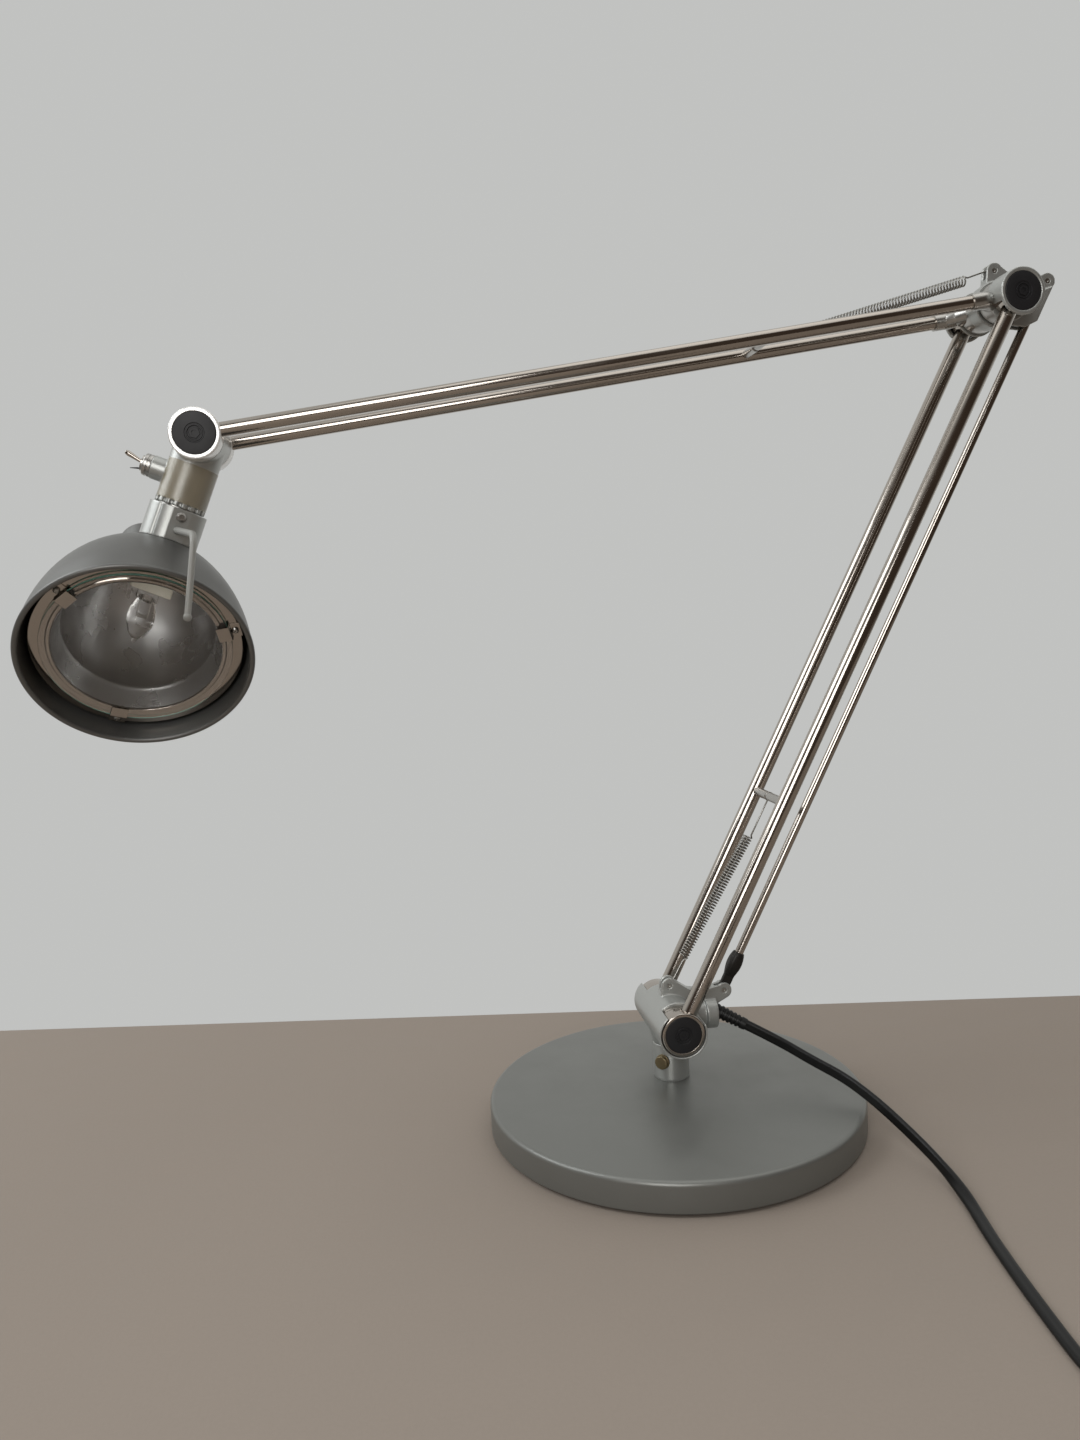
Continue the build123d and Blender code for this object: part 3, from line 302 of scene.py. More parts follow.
def look(name, colour, roughness, metallic=0.0, spread=0.06, grain=700, bump=0.05, smudge=0.06,
         axis=None, stretch=1, wear=0.0, **sockets):
    """A procedural finish: colour and gloss vary softly, and fine grain is raised by a bump.

    With an axis the grain is drawn out along it, or turned round it where stretch is under 1."""
    material = bpy.data.materials.new(name)
    material.use_nodes = True
    nodes, links = material.node_tree.nodes, material.node_tree.links
    shader = nodes["Principled BSDF"]
    shader.inputs["Metallic"].default_value = metallic
    for socket, value in sockets.items():
        shader.inputs[socket.replace("_", " ")].default_value = value
    place = nodes.new("ShaderNodeTexCoord")
    mapping = nodes.new("ShaderNodeMapping")
    links.new(place.outputs["Object"], mapping.inputs["Vector"])
    if axis is not None:
        turn = Vector(axis).rotation_difference(Vector((0, 0, 1))).to_euler()
        mapping.inputs["Rotation"].default_value = turn
    scaling = nodes.new("ShaderNodeMapping")
    scaling.inputs["Scale"].default_value = (1, 1, 1 / stretch)
    links.new(mapping.outputs["Vector"], scaling.inputs["Vector"])
    fine = nodes.new("ShaderNodeTexNoise")
    fine.inputs["Scale"].default_value = grain
    fine.inputs["Detail"].default_value = 4
    links.new(scaling.outputs["Vector"], fine.inputs["Vector"])
    broad = nodes.new("ShaderNodeTexNoise")
    broad.inputs["Scale"].default_value = 38
    broad.inputs["Detail"].default_value = 5
    links.new(place.outputs["Object"], broad.inputs["Vector"])
    blend = nodes.new("ShaderNodeMix")
    blend.data_type = "RGBA"
    dark = [c * (1 - spread) for c in colour]
    light = [min(c * (1 + spread), 1) for c in colour]
    blend.inputs["A"].default_value = (*dark, 1)
    blend.inputs["B"].default_value = (*light, 1)
    both = nodes.new("ShaderNodeMath")
    both.operation = "MULTIPLY_ADD"
    both.inputs[1].default_value = 0.5
    links.new(fine.outputs["Fac"], both.inputs[0])
    half_broad = nodes.new("ShaderNodeMath")
    half_broad.operation = "MULTIPLY"
    half_broad.inputs[1].default_value = 0.5
    links.new(broad.outputs["Fac"], half_broad.inputs[0])
    links.new(half_broad.outputs["Value"], both.inputs[2])
    links.new(both.outputs["Value"], blend.inputs["Factor"])
    final_colour = blend.outputs["Result"]
    if wear:
        worn = nodes.new("ShaderNodeMix")
        worn.data_type = "RGBA"
        worn.inputs["B"].default_value = (*[min(c * (1 + wear), 1) for c in colour], 1)
        edges = nodes.new("ShaderNodeMapRange")
        edges.inputs["From Min"].default_value = 0.52
        edges.inputs["From Max"].default_value = 0.62
        geometry = nodes.new("ShaderNodeNewGeometry")
        links.new(geometry.outputs["Pointiness"], edges.inputs["Value"])
        links.new(edges.outputs["Result"], worn.inputs["Factor"])
        links.new(final_colour, worn.inputs["A"])
        final_colour = worn.outputs["Result"]
    links.new(final_colour, shader.inputs["Base Color"])
    gloss = nodes.new("ShaderNodeMapRange")
    gloss.inputs["From Min"].default_value = 0.3
    gloss.inputs["From Max"].default_value = 0.7
    gloss.inputs["To Min"].default_value = max(roughness - smudge, 0.01)
    gloss.inputs["To Max"].default_value = roughness + smudge
    links.new(broad.outputs["Fac"], gloss.inputs["Value"])
    links.new(gloss.outputs["Result"], shader.inputs["Roughness"])
    raised = nodes.new("ShaderNodeBump")
    raised.inputs["Strength"].default_value = bump
    raised.inputs["Distance"].default_value = 0.0002
    links.new(fine.outputs["Fac"], raised.inputs["Height"])
    links.new(raised.outputs["Normal"], shader.inputs["Normal"])
    return material


looks = {
    "base_paint": look("base_paint", (0.20, 0.204, 0.193), 0.40, 0.55, grain=2600, bump=0.10,
                       spread=0.05, Coat_Weight=0.08, Coat_Roughness=0.35),
    "silver_paint": look("silver_paint", (0.42, 0.43, 0.415), 0.36, 0.6, grain=2200, bump=0.10,
                         wear=0.25, Coat_Weight=0.1, Coat_Roughness=0.3),
    "shade_paint": look("shade_paint", (0.155, 0.155, 0.15), 0.42, 0.7, grain=2600, bump=0.10,
                        spread=0.05),
    "cast_weight": look("cast_weight", (0.08, 0.08, 0.08), 0.7, 0.6, grain=900, bump=0.6),
    "black_pad": look("black_pad", (0.012, 0.012, 0.012), 0.8, grain=1500, bump=0.5),
    # The chrome's warm brown, darkened colour is a painted reflection of the beige cloth and the dark room, not
    # the plating's own tint.
    "chrome_tube": look("chrome_tube", (0.47, 0.43, 0.39), 0.14, 1.0, spread=0.03, grain=300,
                        bump=0.0, smudge=0.03),
    "steel": look("steel", (0.46, 0.45, 0.43), 0.30, 1.0, grain=1400, bump=0.08),
    "spring_steel": look("spring_steel", (0.30, 0.29, 0.27), 0.30, 1.0, grain=1200, bump=0.05),
    "bronze": look("bronze", (0.24, 0.19, 0.11), 0.42, 0.85, spread=0.12, grain=900, bump=0.12),
    "black_cap": look("black_cap", (0.009, 0.009, 0.011), 0.52, grain=2200, bump=0.18),
    "black_fitting": look("black_fitting", (0.016, 0.014, 0.012), 0.45, 0.3, spread=0.25,
                          grain=900, bump=0.25),
    "nylon": look("nylon", (0.72, 0.71, 0.66), 0.4, grain=900, bump=0.05),
    "cord_black": look("cord_black", (0.006, 0.006, 0.006), 0.40, grain=900, bump=0.08,
                       spread=0.2, Specular_IOR_Level=0.28),
    "pin_nickel": look("pin_nickel", (0.66, 0.64, 0.60), 0.2, 1.0, grain=900, bump=0.03),
    "reflector_metal": look("reflector_metal", (0.36, 0.36, 0.355), 0.28, 1.0, grain=2000,
                            bump=0.12, axis=beam_dir, stretch=0.25),
    # The ring chrome's brown-beige, darkened colour is a painted reflection of its surroundings, not the plating's
    # own tint.
    "ring_chrome": look("ring_chrome", (0.44, 0.40, 0.36), 0.12, 1.0, spread=0.05, grain=900,
                        bump=0.02),
    "clear_glass": look("clear_glass", (1.0, 1.0, 1.0), 0.02, spread=0.01, smudge=0.01,
                        bump=0.0, Transmission_Weight=1.0, IOR=1.5),
    "bulb_glass": look("bulb_glass", (0.97, 0.97, 0.97), 0.02, spread=0.01, smudge=0.01,
                       bump=0.01, Transmission_Weight=1.0, IOR=1.46),
    "ceramic": look("ceramic", (0.74, 0.71, 0.60), 0.62, grain=1100, bump=0.15),
    "handle_plastic": look("handle_plastic", (0.44, 0.44, 0.415), 0.38, spread=0.05, grain=900,
                           bump=0.05, Transmission_Weight=0.45, IOR=1.45),
}
glass_edge = look("glass_edge", (0.30, 0.55, 0.45), 0.12, grain=900, Transmission_Weight=0.5)
# Near-white, half-metal chrome for the head's eyes: a painted highlight, lighter than the other chrome so the ring
# there reads as glare.
painted_highlight_chrome = look("painted_highlight_chrome", (0.86, 0.86, 0.85), 0.2, 0.35, grain=500, bump=0.02)
label_film = look("label_film", (0.42, 0.34, 0.20), 0.28, spread=0.3, grain=240, bump=0.05,
                  Alpha=0.22, Coat_Weight=0.4)

for node, cad_piece in frame["nodes"].items():
    cad_piece.data.materials.clear()
    cad_piece.data.materials.append(looks[slot_of[node]])


def fit(piece, body, slot, *nodes, finish=None):
    """Finish a piece, and let it ride on its body in place of its CAD nodes."""
    piece.data.materials.clear()
    piece.data.materials.append(finish or looks[slot])
    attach(piece, body)
    if nodes:
        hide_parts(*nodes)
    return piece


# ---- Cord -----------------------------------------------------------------------------------------

GLAND_START = lower_pivot + Vector((26, 0, 3.1))
gland_dir = Vector((22.1, -11.5, -10.8)).normalized()
GLAND_LENGTH = 24
CORD_WIDTH = 6.4
CORE_RADIUS = 1.72
COIL_CENTRE = Vector((147, -318, 0))
COIL_RADII = (38.3, 31.7)
COIL_LAYERS = (3.4, 9.8, 16.2)
COIL_STEPS = 16
CROSSOVER = 0.3
PLUG_SIDE = 42.5
PLUG_START = COIL_CENTRE + Vector((PLUG_SIDE, 4, 7))
# The flex winds inward on one layer and outward on the next.
coil_order = [(radius, height) for layer, height in enumerate(COIL_LAYERS)
              for radius in (COIL_RADII if layer % 2 == 0 else COIL_RADII[::-1])]

cord_exit = GLAND_START + gland_dir * GLAND_LENGTH
cord_route = [
    cord_exit,
    cord_exit + gland_dir * 21,
    Vector((76.9, -38.6, 35.2)),
    Vector((88.7, -55.1, 31)),
    Vector((97.5, -75.2, 25.6)),
    Vector((106.5, -94.3, 16.9)),
    Vector((114.7, -116.8, 7.4)),
    Vector((114.6, -145.4, 3.2)),
    Vector((108.5, -175.4, 2.2)),
    Vector((103.4, -206.3, 2)),
    Vector((98.9, -239.1, 2)),
    Vector((95.4, -268.8, 2)),
    Vector((96.7, -298.3, 2.2)),
    Vector((103.5, -327, 2.8)),
    Vector((120, -347, 3.3)),
]


def coil_place(turns):
    """A point on the coil after so many turns, which start at the side nearest the viewer.

    The last part of each turn eases over to the radius and height of the next."""
    whole = min(int(turns), len(coil_order) - 1)
    following = min(whole + 1, len(coil_order) - 1)
    share = eased(min(max((turns - whole - (1 - CROSSOVER)) / CROSSOVER, 0), 1))
    radius, height = (this * (1 - share) + then * share
                      for this, then in zip(coil_order[whole], coil_order[following]))
    angle = 2 * pi * turns - pi / 2
    return COIL_CENTRE + Vector((radius * cos(angle), radius * sin(angle), height))


for step in range(1, COIL_STEPS * len(coil_order) + 1):
    cord_route.append(coil_place(step / COIL_STEPS))
for share in (0.3, 0.6, 0.85):
    angle = share * pi / 2 - pi / 2
    radius = COIL_RADII[1] + (PLUG_SIDE + 1 - COIL_RADII[1]) * share
    height = COIL_LAYERS[-1] + (PLUG_START.z - COIL_LAYERS[-1]) * share ** 2
    cord_route.append(COIL_CENTRE + Vector((radius * cos(angle), radius * sin(angle), height)))
cord_route.append(PLUG_START + Vector((0, 3, 0)))

route = bpy.data.curves.new("route", "CURVE")
route.dimensions = "3D"
spline = route.splines.new("NURBS")
spline.points.add(len(cord_route) - 1)
for control, place in zip(spline.points, cord_route):
    control.co = (*(place * MM), 1)
spline.order_u = 3
spline.use_endpoint_u = True
spline.resolution_u = 8
route_object = bpy.data.objects.new("route", route)
bpy.context.scene.collection.objects.link(route_object)
route_line = bpy.data.meshes.new_from_object(route_object)
cord_path = [vertex.co / MM for vertex in route_line.vertices]
bpy.data.objects.remove(route_object)
travelled = [0]
for a, b in zip(cord_path, cord_path[1:]):
    travelled.append(travelled[-1] + (b - a).length)

# The flex hangs with its wide side upright, turns once where it reaches the floor, lies flat, and
# stands upright again in the coil. Each pair is a length along it and an angle in degrees.
TWISTS = ((0, 90), (135, 96), (185, 180), (330, 180), (385, 270), (2400, 270))


def flex_wide(share, direction):
    """The flex's wide direction at a share of its points."""
    gone = travelled[round(share * (len(cord_path) - 1))]
    for (start, from_angle), (end, to_angle) in zip(TWISTS, TWISTS[1:]):
        if gone <= end:
            part = eased((gone - start) / (end - start))
            angle = radians(from_angle + (to_angle - from_angle) * part)
            break
    level = Vector((direction.y, -direction.x, 0)).normalized()
    upright = level.cross(direction)
    return level * cos(angle) + upright * sin(angle)


def flex_section():
    """Two round cores side by side, with a groove between them."""
    offset = CORD_WIDTH / 2 - CORE_RADIUS
    section = []
    for side in (1, -1):
        for step in range(9):
            angle = radians(-110 + 220 * step / 8)
            section.append((side * (offset + CORE_RADIUS * cos(angle)),
                            side * CORE_RADIUS * sin(angle)))
    return section


flex = fit(make("cord", swept(cord_path, flex_section(), flex_wide), sharp=60), "bracket",
           "cord_black", "cord_tube", "cord_coil")

GLAND_RADIUS = 4.3
gland_outline = [(0, -2), (GLAND_RADIUS, -2), (GLAND_RADIUS, 5)]
GLAND_RIBS = 6
RIB_PITCH = 2.7
RIB_TAPER = 0.12
for rib in range(GLAND_RIBS):
    height = 6 + rib * RIB_PITCH
    radius = GLAND_RADIUS - RIB_TAPER * rib
    gland_outline += [(radius - 0.55, height), (radius - 0.55, height + 0.7),
                      (radius, height + 1), (radius - 0.05, height + 2.4)]
gland_outline += [(3.5, GLAND_LENGTH), (0, GLAND_LENGTH)]
gland = fit(make("cord_strain_relief", turned(GLAND_START, gland_dir, gland_outline, 40, False)),
            "bracket", "cord_black", "cord_gland")

plug = fit(softened("plug", "plug_body", 0.6, 4), "bracket", "cord_black", "plug_body")
TIE_ANGLE = radians(125)
tie_out = Vector((cos(TIE_ANGLE), sin(TIE_ANGLE), 0))
tie_centre = COIL_CENTRE + tie_out * sum(COIL_RADII) / 2 + Vector((0, 0, 9.9))
TIE_HALF_WIDE = 7.6
TIE_HALF_HIGH = 9.5
tie_corners = [(tie_centre + tie_out * TIE_HALF_WIDE * i + Vector((0, 0, TIE_HALF_HIGH * j)), 3)
               for i, j in ((0, -1), (1, -1), (1, 1), (-1, 1), (-1, -1), (0, -1))]
tie = fit(make("cord_tie", swept(rounded(tie_corners, 6), flat_section(2.5, 0.4),
                                 lambda share, direction: tie_out.cross(up))),
          "bracket", "cord_black")

# ---- Base and post --------------------------------------------------------------------------------

BASE_CENTRE = Vector((-3, -18, 0))
BASE_RADIUS = 112
BASE_HEIGHT = 19
PAD_THICKNESS = 1.5
POST_TOP = 41.5
POST_RADIUS = 11
POST_BORE = 8
COVER_SIDE = 3.2
COVER_SHEET = 1.6
SCREW_HOLE_RADIUS = 4
base_outline = rounded([
    (0, BASE_HEIGHT), ((BASE_RADIUS, BASE_HEIGHT), 2.8), ((BASE_RADIUS, PAD_THICKNESS), 1.1),
    (BASE_RADIUS - COVER_SIDE, PAD_THICKNESS),
    (BASE_RADIUS - COVER_SIDE, BASE_HEIGHT - COVER_SHEET), (0, BASE_HEIGHT - COVER_SHEET)], 8)
cover = make("base_cover", turned(BASE_CENTRE, up, base_outline, 192, False))
below_cover, above_cover = up * 4, up * 30
cut(cover, bar(below_cover, above_cover, SCREW_HOLE_RADIUS, 0.1))
fit(cover, "base", "base_paint", "base_shell")
pad_outline = rounded([(0, 0), ((BASE_RADIUS - 3, 0), 0.4), (BASE_RADIUS - 3, PAD_THICKNESS),
                       (0, PAD_THICKNESS)])
fit(make("base_foot", turned(BASE_CENTRE, up, pad_outline, 160, False)), "base", "black_pad",
    "base_pad")
post_outline = rounded([
    (POST_BORE, BASE_HEIGHT + 4), (POST_BORE, POST_TOP), ((POST_RADIUS, POST_TOP), 0.7),
    ((POST_RADIUS, BASE_HEIGHT + 0.9), 0.3), (POST_RADIUS - 0.4, BASE_HEIGHT)], 4)
fit(make("post", turned((0, 0, 0), up, post_outline, 96, True)), "base", "silver_paint",
    "base_post")
SCREW_TURN = radians(41)
SCREW_LEVEL = 31.5
screw_dir = Vector((-sin(SCREW_TURN), -cos(SCREW_TURN), 0))
screw_outline = rounded([
    (0, 5), (2, 5), (2, 11.1), (4.5, 11.1), ((4.5, 12.2), 0.3), (4.1, 12.2), ((4.1, 14.3), 0.6),
    (0, 14.6)], 4)
fit(make("clamp_screw_head", turned(up * SCREW_LEVEL, screw_dir, screw_outline, 48, False)),
    "base", "bronze", "clamp_screw")

# ---- Brackets and caps ----------------------------------------------------------------------------

# How far each cap's face is from the lamp's middle plane, and the cap's radius.
LOWER_FACE, LOWER_CAP = 33, 11
ELBOW_FACE, ELBOW_CAP = 33.3, 11.2
HEAD_FACE, HEAD_CAP = 26.6, 11.5

fit(softened("lower_casting", "lower_bracket", 0.5, 4), "bracket", "silver_paint",
    "lower_bracket")
fit(softened("elbow_casting", "elbow_bracket", 0.5, 4), "elbow_bracket", "silver_paint",
    "elbow_bracket")


def cap(pivot, side, face_y, radius):
    """A round plastic cap with a raised ring and a hollow hexagon at its middle."""
    out = across * side
    outline = rounded([
        (0, -2), (radius - 0.1, -2), ((radius - 0.1, 0), 0.35), (5.4, 0), (5.1, -0.35),
        (4.6, -0.35), (4.4, 0), (3.9, 0), (3.6, -0.6), (0, -0.6)], 4)
    dish = turned(pivot + out * face_y, out, outline, 72, False)
    socket = [(1.7, -0.7), (1.7, -0.15), (3.0, -0.15), (3.3, -0.7)]
    return dish, turned(pivot + out * face_y, out, socket, 6)


def caps(name, pivot, face_y, radius, body, node):
    """The two caps of a pivot."""
    shapes = [shape for side in (-1, 1) for shape in cap(pivot, side, face_y, radius)]
    fit(make(name, *shapes, sharp=30), body, "black_cap", node)


caps("lower_end_caps", lower_pivot, LOWER_FACE, LOWER_CAP, "lower_arm", "lower_caps")
caps("elbow_end_caps", elbow, ELBOW_FACE, ELBOW_CAP, "elbow_bracket", "elbow_caps")
caps("head_end_caps", head, HEAD_FACE, HEAD_CAP, "upper_arm", "head_caps")

# ---- Arms -----------------------------------------------------------------------------------------


BUSH_HOLE = 6
NUT_HOLE = 8
LOWER_NUT_SEAT = 24.4
HEAD_NUT_SEAT = 18
LOWER_EYE_INSIDE = 18.8
LOWER_LINE = 26
UPPER_LINE = 22.3
LOWER_TUBE_RADIUS = 4.75
UPPER_TUBE_RADIUS = 4.05
UPPER_TUBE_START = 19


def eyes(pivot, outer, inside_y, face_y, nut_seat, recess_radius=0, recess_depth=0):
    """Both eyes of an arm's end, each a ring, with a recess where it holds a cap."""
    steps = [(BUSH_HOLE, inside_y), ((outer, inside_y), 0.5), ((outer, face_y), 0.8)]
    if recess_depth:
        steps += [((recess_radius, face_y), 0.25), (recess_radius, face_y - recess_depth)]
    steps += [(NUT_HOLE, face_y - recess_depth), (NUT_HOLE, nut_seat), (BUSH_HOLE, nut_seat)]
    return [turned(pivot, across * side, rounded(steps, 4), 96) for side in (-1, 1)]


fit(make("lower_foot_eyes", *eyes(lower_pivot, 13.1, LOWER_EYE_INSIDE, LOWER_FACE,
                                  LOWER_NUT_SEAT, LOWER_CAP, 2.6)),
    "lower_arm", "chrome_tube", "lower_foot_hubs")
fit(make("lower_top_eyes", *eyes(elbow, 11, LOWER_EYE_INSIDE, 31, LOWER_NUT_SEAT)), "lower_arm",
    "chrome_tube", "lower_top_hubs")
# The head's eyes take the lighter chrome, a painted highlight.
fit(make("head_eyes", *eyes(head, 13.9, 14.4, HEAD_FACE, HEAD_NUT_SEAT, HEAD_CAP, 2)),
    "upper_arm", "chrome_tube", "upper_head_hubs", finish=painted_highlight_chrome)
KNUCKLE_RADIUS = 4.9
knuckles = []
for side in (-1, 1):
    out = across * side
    eye_ring = rounded([(7.6, 6), ((12.4, 6), 0.6), ((12.4, 17.2), 1.6), (7.6, 17.2)], 4)
    knuckles.append(turned(elbow, out, eye_ring, 96))
    fork = rounded([elbow + upper_dir * 8 + out * 12, (elbow + upper_dir * 13 + out * 18, 5),
                    (elbow + upper_dir * UPPER_TUBE_START + out * UPPER_LINE, 6),
                    elbow + upper_dir * 27 + out * UPPER_LINE], 8)
    knuckles.append(swept(fork, ring_section(KNUCKLE_RADIUS, 28), scale_at=tapered))
fit(make("upper_knuckles", *knuckles), "upper_arm", "chrome_tube", "upper_elbow_hubs",
    finish=looks["steel"])


def tube(start, end, radius):
    """A long chromed tube with rounded, open ends."""
    run = Vector(end) - Vector(start)
    outline = rounded([((radius, 0), 0.3), ((radius, run.length), 0.3),
                       (radius - 1, run.length), (radius - 1, 0), (radius, 0)], 3)
    return turned(start, run, outline[:-1], 64)


for side, name in ((-1, "near"), (1, "far")):
    lower_line = across * side * LOWER_LINE
    fit(make(f"lower_{name}_tube", tube(lower_pivot + lower_line + lower_dir * 9,
                                        elbow + lower_line - lower_dir * 9, LOWER_TUBE_RADIUS)),
        "lower_arm", "chrome_tube", f"lower_tube_{name}")
    upper_line = across * side * UPPER_LINE
    fit(make(f"upper_{name}_tube", tube(elbow + upper_line + upper_dir * UPPER_TUBE_START,
                                        head + upper_line - upper_dir * 12.2,
                                        UPPER_TUBE_RADIUS)),
        "upper_arm", "chrome_tube", f"upper_tube_{name}")


def spacer(centre, half, radius):
    """A turned spacer, with a groove at its middle where the spring hooks on."""
    outline = rounded([
        (0, -half - 4), (2, -half - 4), (2, -half), ((radius, -half), 0.3), (radius, -1.5),
        ((2, -0.9), 0.4), ((2, 0.9), 0.4), (radius, 1.5), ((radius, half), 0.3), (2, half),
        (2, half + 4), (0, half + 4)], 3)
    return turned(centre, across, outline, 40, False)


lower_pin = lower_pivot + lower_dir * 149.5
upper_pin = elbow + upper_dir * 152
fit(make("lower_spacer", spacer(lower_pin, 21.25, 2.8)), "lower_arm", "steel",
    "lower_cross_pin")
fit(make("upper_spacer", spacer(upper_pin, 18.25, 2.6)), "upper_arm", "steel",
    "upper_cross_pin")

# ---- Springs --------------------------------------------------------------------------------------

WIRE_RADIUS = 0.52
COIL_OUTER = 3.3
TURN_POINTS = 18
EAR_HOOK = 2.1
PIN_HOOK = 2.5
SPRING_EAR = Vector((-0.2, 0, 20.2))


def spring_wire(ear, pin, coil_from, coil_to, turns):
    """A close-wound spring: a hook on the ear, the coil, and a kinked wire to the pin's groove."""
    along = (pin - ear).normalized()
    side = across.cross(along).normalized()
    mean = COIL_OUTER - WIRE_RADIUS
    path = [ear + along * -EAR_HOOK * cos(a) + side * EAR_HOOK * sin(a)
            for a in (radians(d) for d in range(-60, 61, 20))]
    path.append(ear + along * (coil_from - 3) + side * 1.2)
    count = turns * TURN_POINTS
    for step in range(count + 1):
        angle = 2 * pi * step / TURN_POINTS + pi / 2
        share = step / count
        place = ear + along * (coil_from + (coil_to - coil_from) * share)
        path.append(place + side * mean * sin(angle) + across * mean * cos(angle))
    path.append(ear + along * (coil_to + 1.6) + side * 1.6)
    for degrees in range(-90, 181, 30):
        angle = radians(degrees)
        path.append(pin + side * PIN_HOOK * cos(angle) + along * PIN_HOOK * sin(angle))
    return path


SPRINGS = (
    ("lower_balance_spring", lower_pivot, lower_pin, (20, 104), 46, "bracket", "lower_arm",
     "lower_spring"),
    ("upper_balance_spring", elbow, upper_pin, (19, 116), 48, "elbow_bracket", "upper_arm",
     "upper_spring"),
)
for name, pivot, pin, (coil_from, coil_to), turns, still, moving, node in SPRINGS:
    ear = pivot + SPRING_EAR
    wire = make(name, swept(spring_wire(ear, pin, coil_from, coil_to, turns),
                            ring_section(WIRE_RADIUS, 8)), sharp=80)
    wire.data.materials.append(looks["spring_steel"])
    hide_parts(node)
    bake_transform(wire)

# ---- Parallel rod ---------------------------------------------------------------------------------

fit(softened("rod_end_fitting", "rod_foot", 0.3, 3), "parallel_rod", "black_fitting",
    "rod_foot")

# ---- Neck, its label and the switch ---------------------------------------------------------------

fit(softened("neck_casting", "neck", 0.42, 2), "head_neck", "silver_paint", "neck")

LABEL_FROM = 15
LABEL_TO = 37
LABEL_RADIUS = 13.95
LABEL_THICKNESS = 0.08
LABEL_EDGE = -62
LABEL_SWEEP = 190
LABEL_STEPS = 40
label_points, label_faces = [], []
for step in range(LABEL_STEPS + 1):
    angle = radians(LABEL_EDGE + LABEL_SWEEP * step / LABEL_STEPS)
    out = -across * cos(angle) - ahead_of_neck * sin(angle)
    for radius in (LABEL_RADIUS, LABEL_RADIUS + LABEL_THICKNESS):
        for height in (LABEL_FROM, LABEL_TO):
            label_points.append(head + neck_dir * height + out * radius)
for step in range(LABEL_STEPS):
    first = step * 4
    for a, b in ((0, 1), (1, 3), (3, 2), (2, 0)):
        label_faces.append((first + a, first + b, first + b + 4, first + a + 4))
label_faces += [(0, 2, 3, 1), tuple(4 * LABEL_STEPS + k for k in (0, 1, 3, 2))]
fit(make("plain_label", (label_points, label_faces)), "head_neck", "silver_paint",
    finish=label_film)

switch_root = head + neck_dir * 23
nut_outline = rounded([
    (4.5, 20.5), ((6.3, 20.5), 0.3), (6.3, 22), (5.9, 22.3), (5.9, 22.7), (6.3, 23),
    ((6.2, 25), 0.6), (4.5, 25)], 4)
fit(make("switch_ring_nut", turned(switch_root, ahead_of_neck, nut_outline, 64)), "head_neck",
    "steel", "switch_nut")
seal_outline = rounded([(3.2, 24.9), (4.3, 24.9), ((4.3, 26.3), 0.3), (3.2, 26.3)], 3)
fit(make("switch_seal", turned(switch_root, ahead_of_neck, seal_outline, 48)), "head_neck",
    "black_cap")
LEVER_TILT = radians(13)
lever_dir = ahead_of_neck * cos(LEVER_TILT) - neck_dir * sin(LEVER_TILT)
lever_outline = rounded([
    (0, -2.4), ((2.1, -1.2), 0.9), ((1.9, 1.4), 0.6), (1.0, 2.2), (1.0, 3), ((1.55, 10.5), 1.2),
    ((1.2, 12.3), 0.6), (0, 12.5)], 5)
fit(make("switch_bat", turned(lever_pivot, lever_dir, lever_outline, 40, False)),
    "switch_lever", "ring_chrome", "switch_lever")
tab_root = switch_root + ahead_of_neck * 25.6 + neck_dir * 3.2
tab_dir = (ahead_of_neck + neck_dir * 0.12).normalized()
tab = [tab_root + tab_dir * length + neck_dir * drop
       for length, drop in ((-0.6, 0), (2, 0.1), (4, 0.5), (6, 0.9))]
fit(make("switch_guide", swept(tab, flat_section(1.3, 0.5), lambda share, direction: across,
                               lambda share: 1 - 0.7 * share)),
    "head_neck", "black_cap")

# ---- Shade ----------------------------------------------------------------------------------------

MOUTH_RADIUS = 61
SHADE_DEPTH = 88
SHADE_FULLNESS = 1.83
SHADE_WALL = 1.5
RING_DEPTH = 11
NECK_HOLE_RADIUS = 12.4
inward = -beam_dir


def dome(radius, depth, base, count=28):
    """A superellipse quarter, from the edge to the pole, as (radius, height) points."""
    line = []
    for step in range(count + 1):
        angle = pi / 2 * step / count
        line.append((radius * max(cos(angle), 0) ** (2 / SHADE_FULLNESS) if step < count else 0,
                     base + depth * sin(angle) ** (2 / SHADE_FULLNESS)))
    return line


LIP_RADIUS = 1.55
lip = [(MOUTH_RADIUS - 0.6 + LIP_RADIUS * cos(radians(a)), 0.9 + LIP_RADIUS * sin(radians(a)))
       for a in range(-170, 61, 23)]
shade_outline = (dome(MOUTH_RADIUS - SHADE_WALL, SHADE_DEPTH - SHADE_WALL, 0)[::-1] + lip
                 + dome(MOUTH_RADIUS, SHADE_DEPTH, 0)[2:])
shade = make("shade_dome", turned(mouth, inward, shade_outline, 192, False))
cut(shade, bar(head + neck_dir * 36, head + neck_dir * 82, NECK_HOLE_RADIUS, 0.1))
fit(shade, "shade", "shade_paint", "shade")
cap_outline = rounded([
    (13, 84.4), (16.5, 82.6), ((16.5, SHADE_DEPTH + 25), 4.5), (0, SHADE_DEPTH + 25)], 10)
fit(make("shade_rear_cap", turned(mouth, inward, cap_outline, 96, False)), "shade",
    "shade_paint", "shade_cap")
fit(softened("collar_ring", "collar", 0.34, 2), "shade", "silver_paint", "collar")


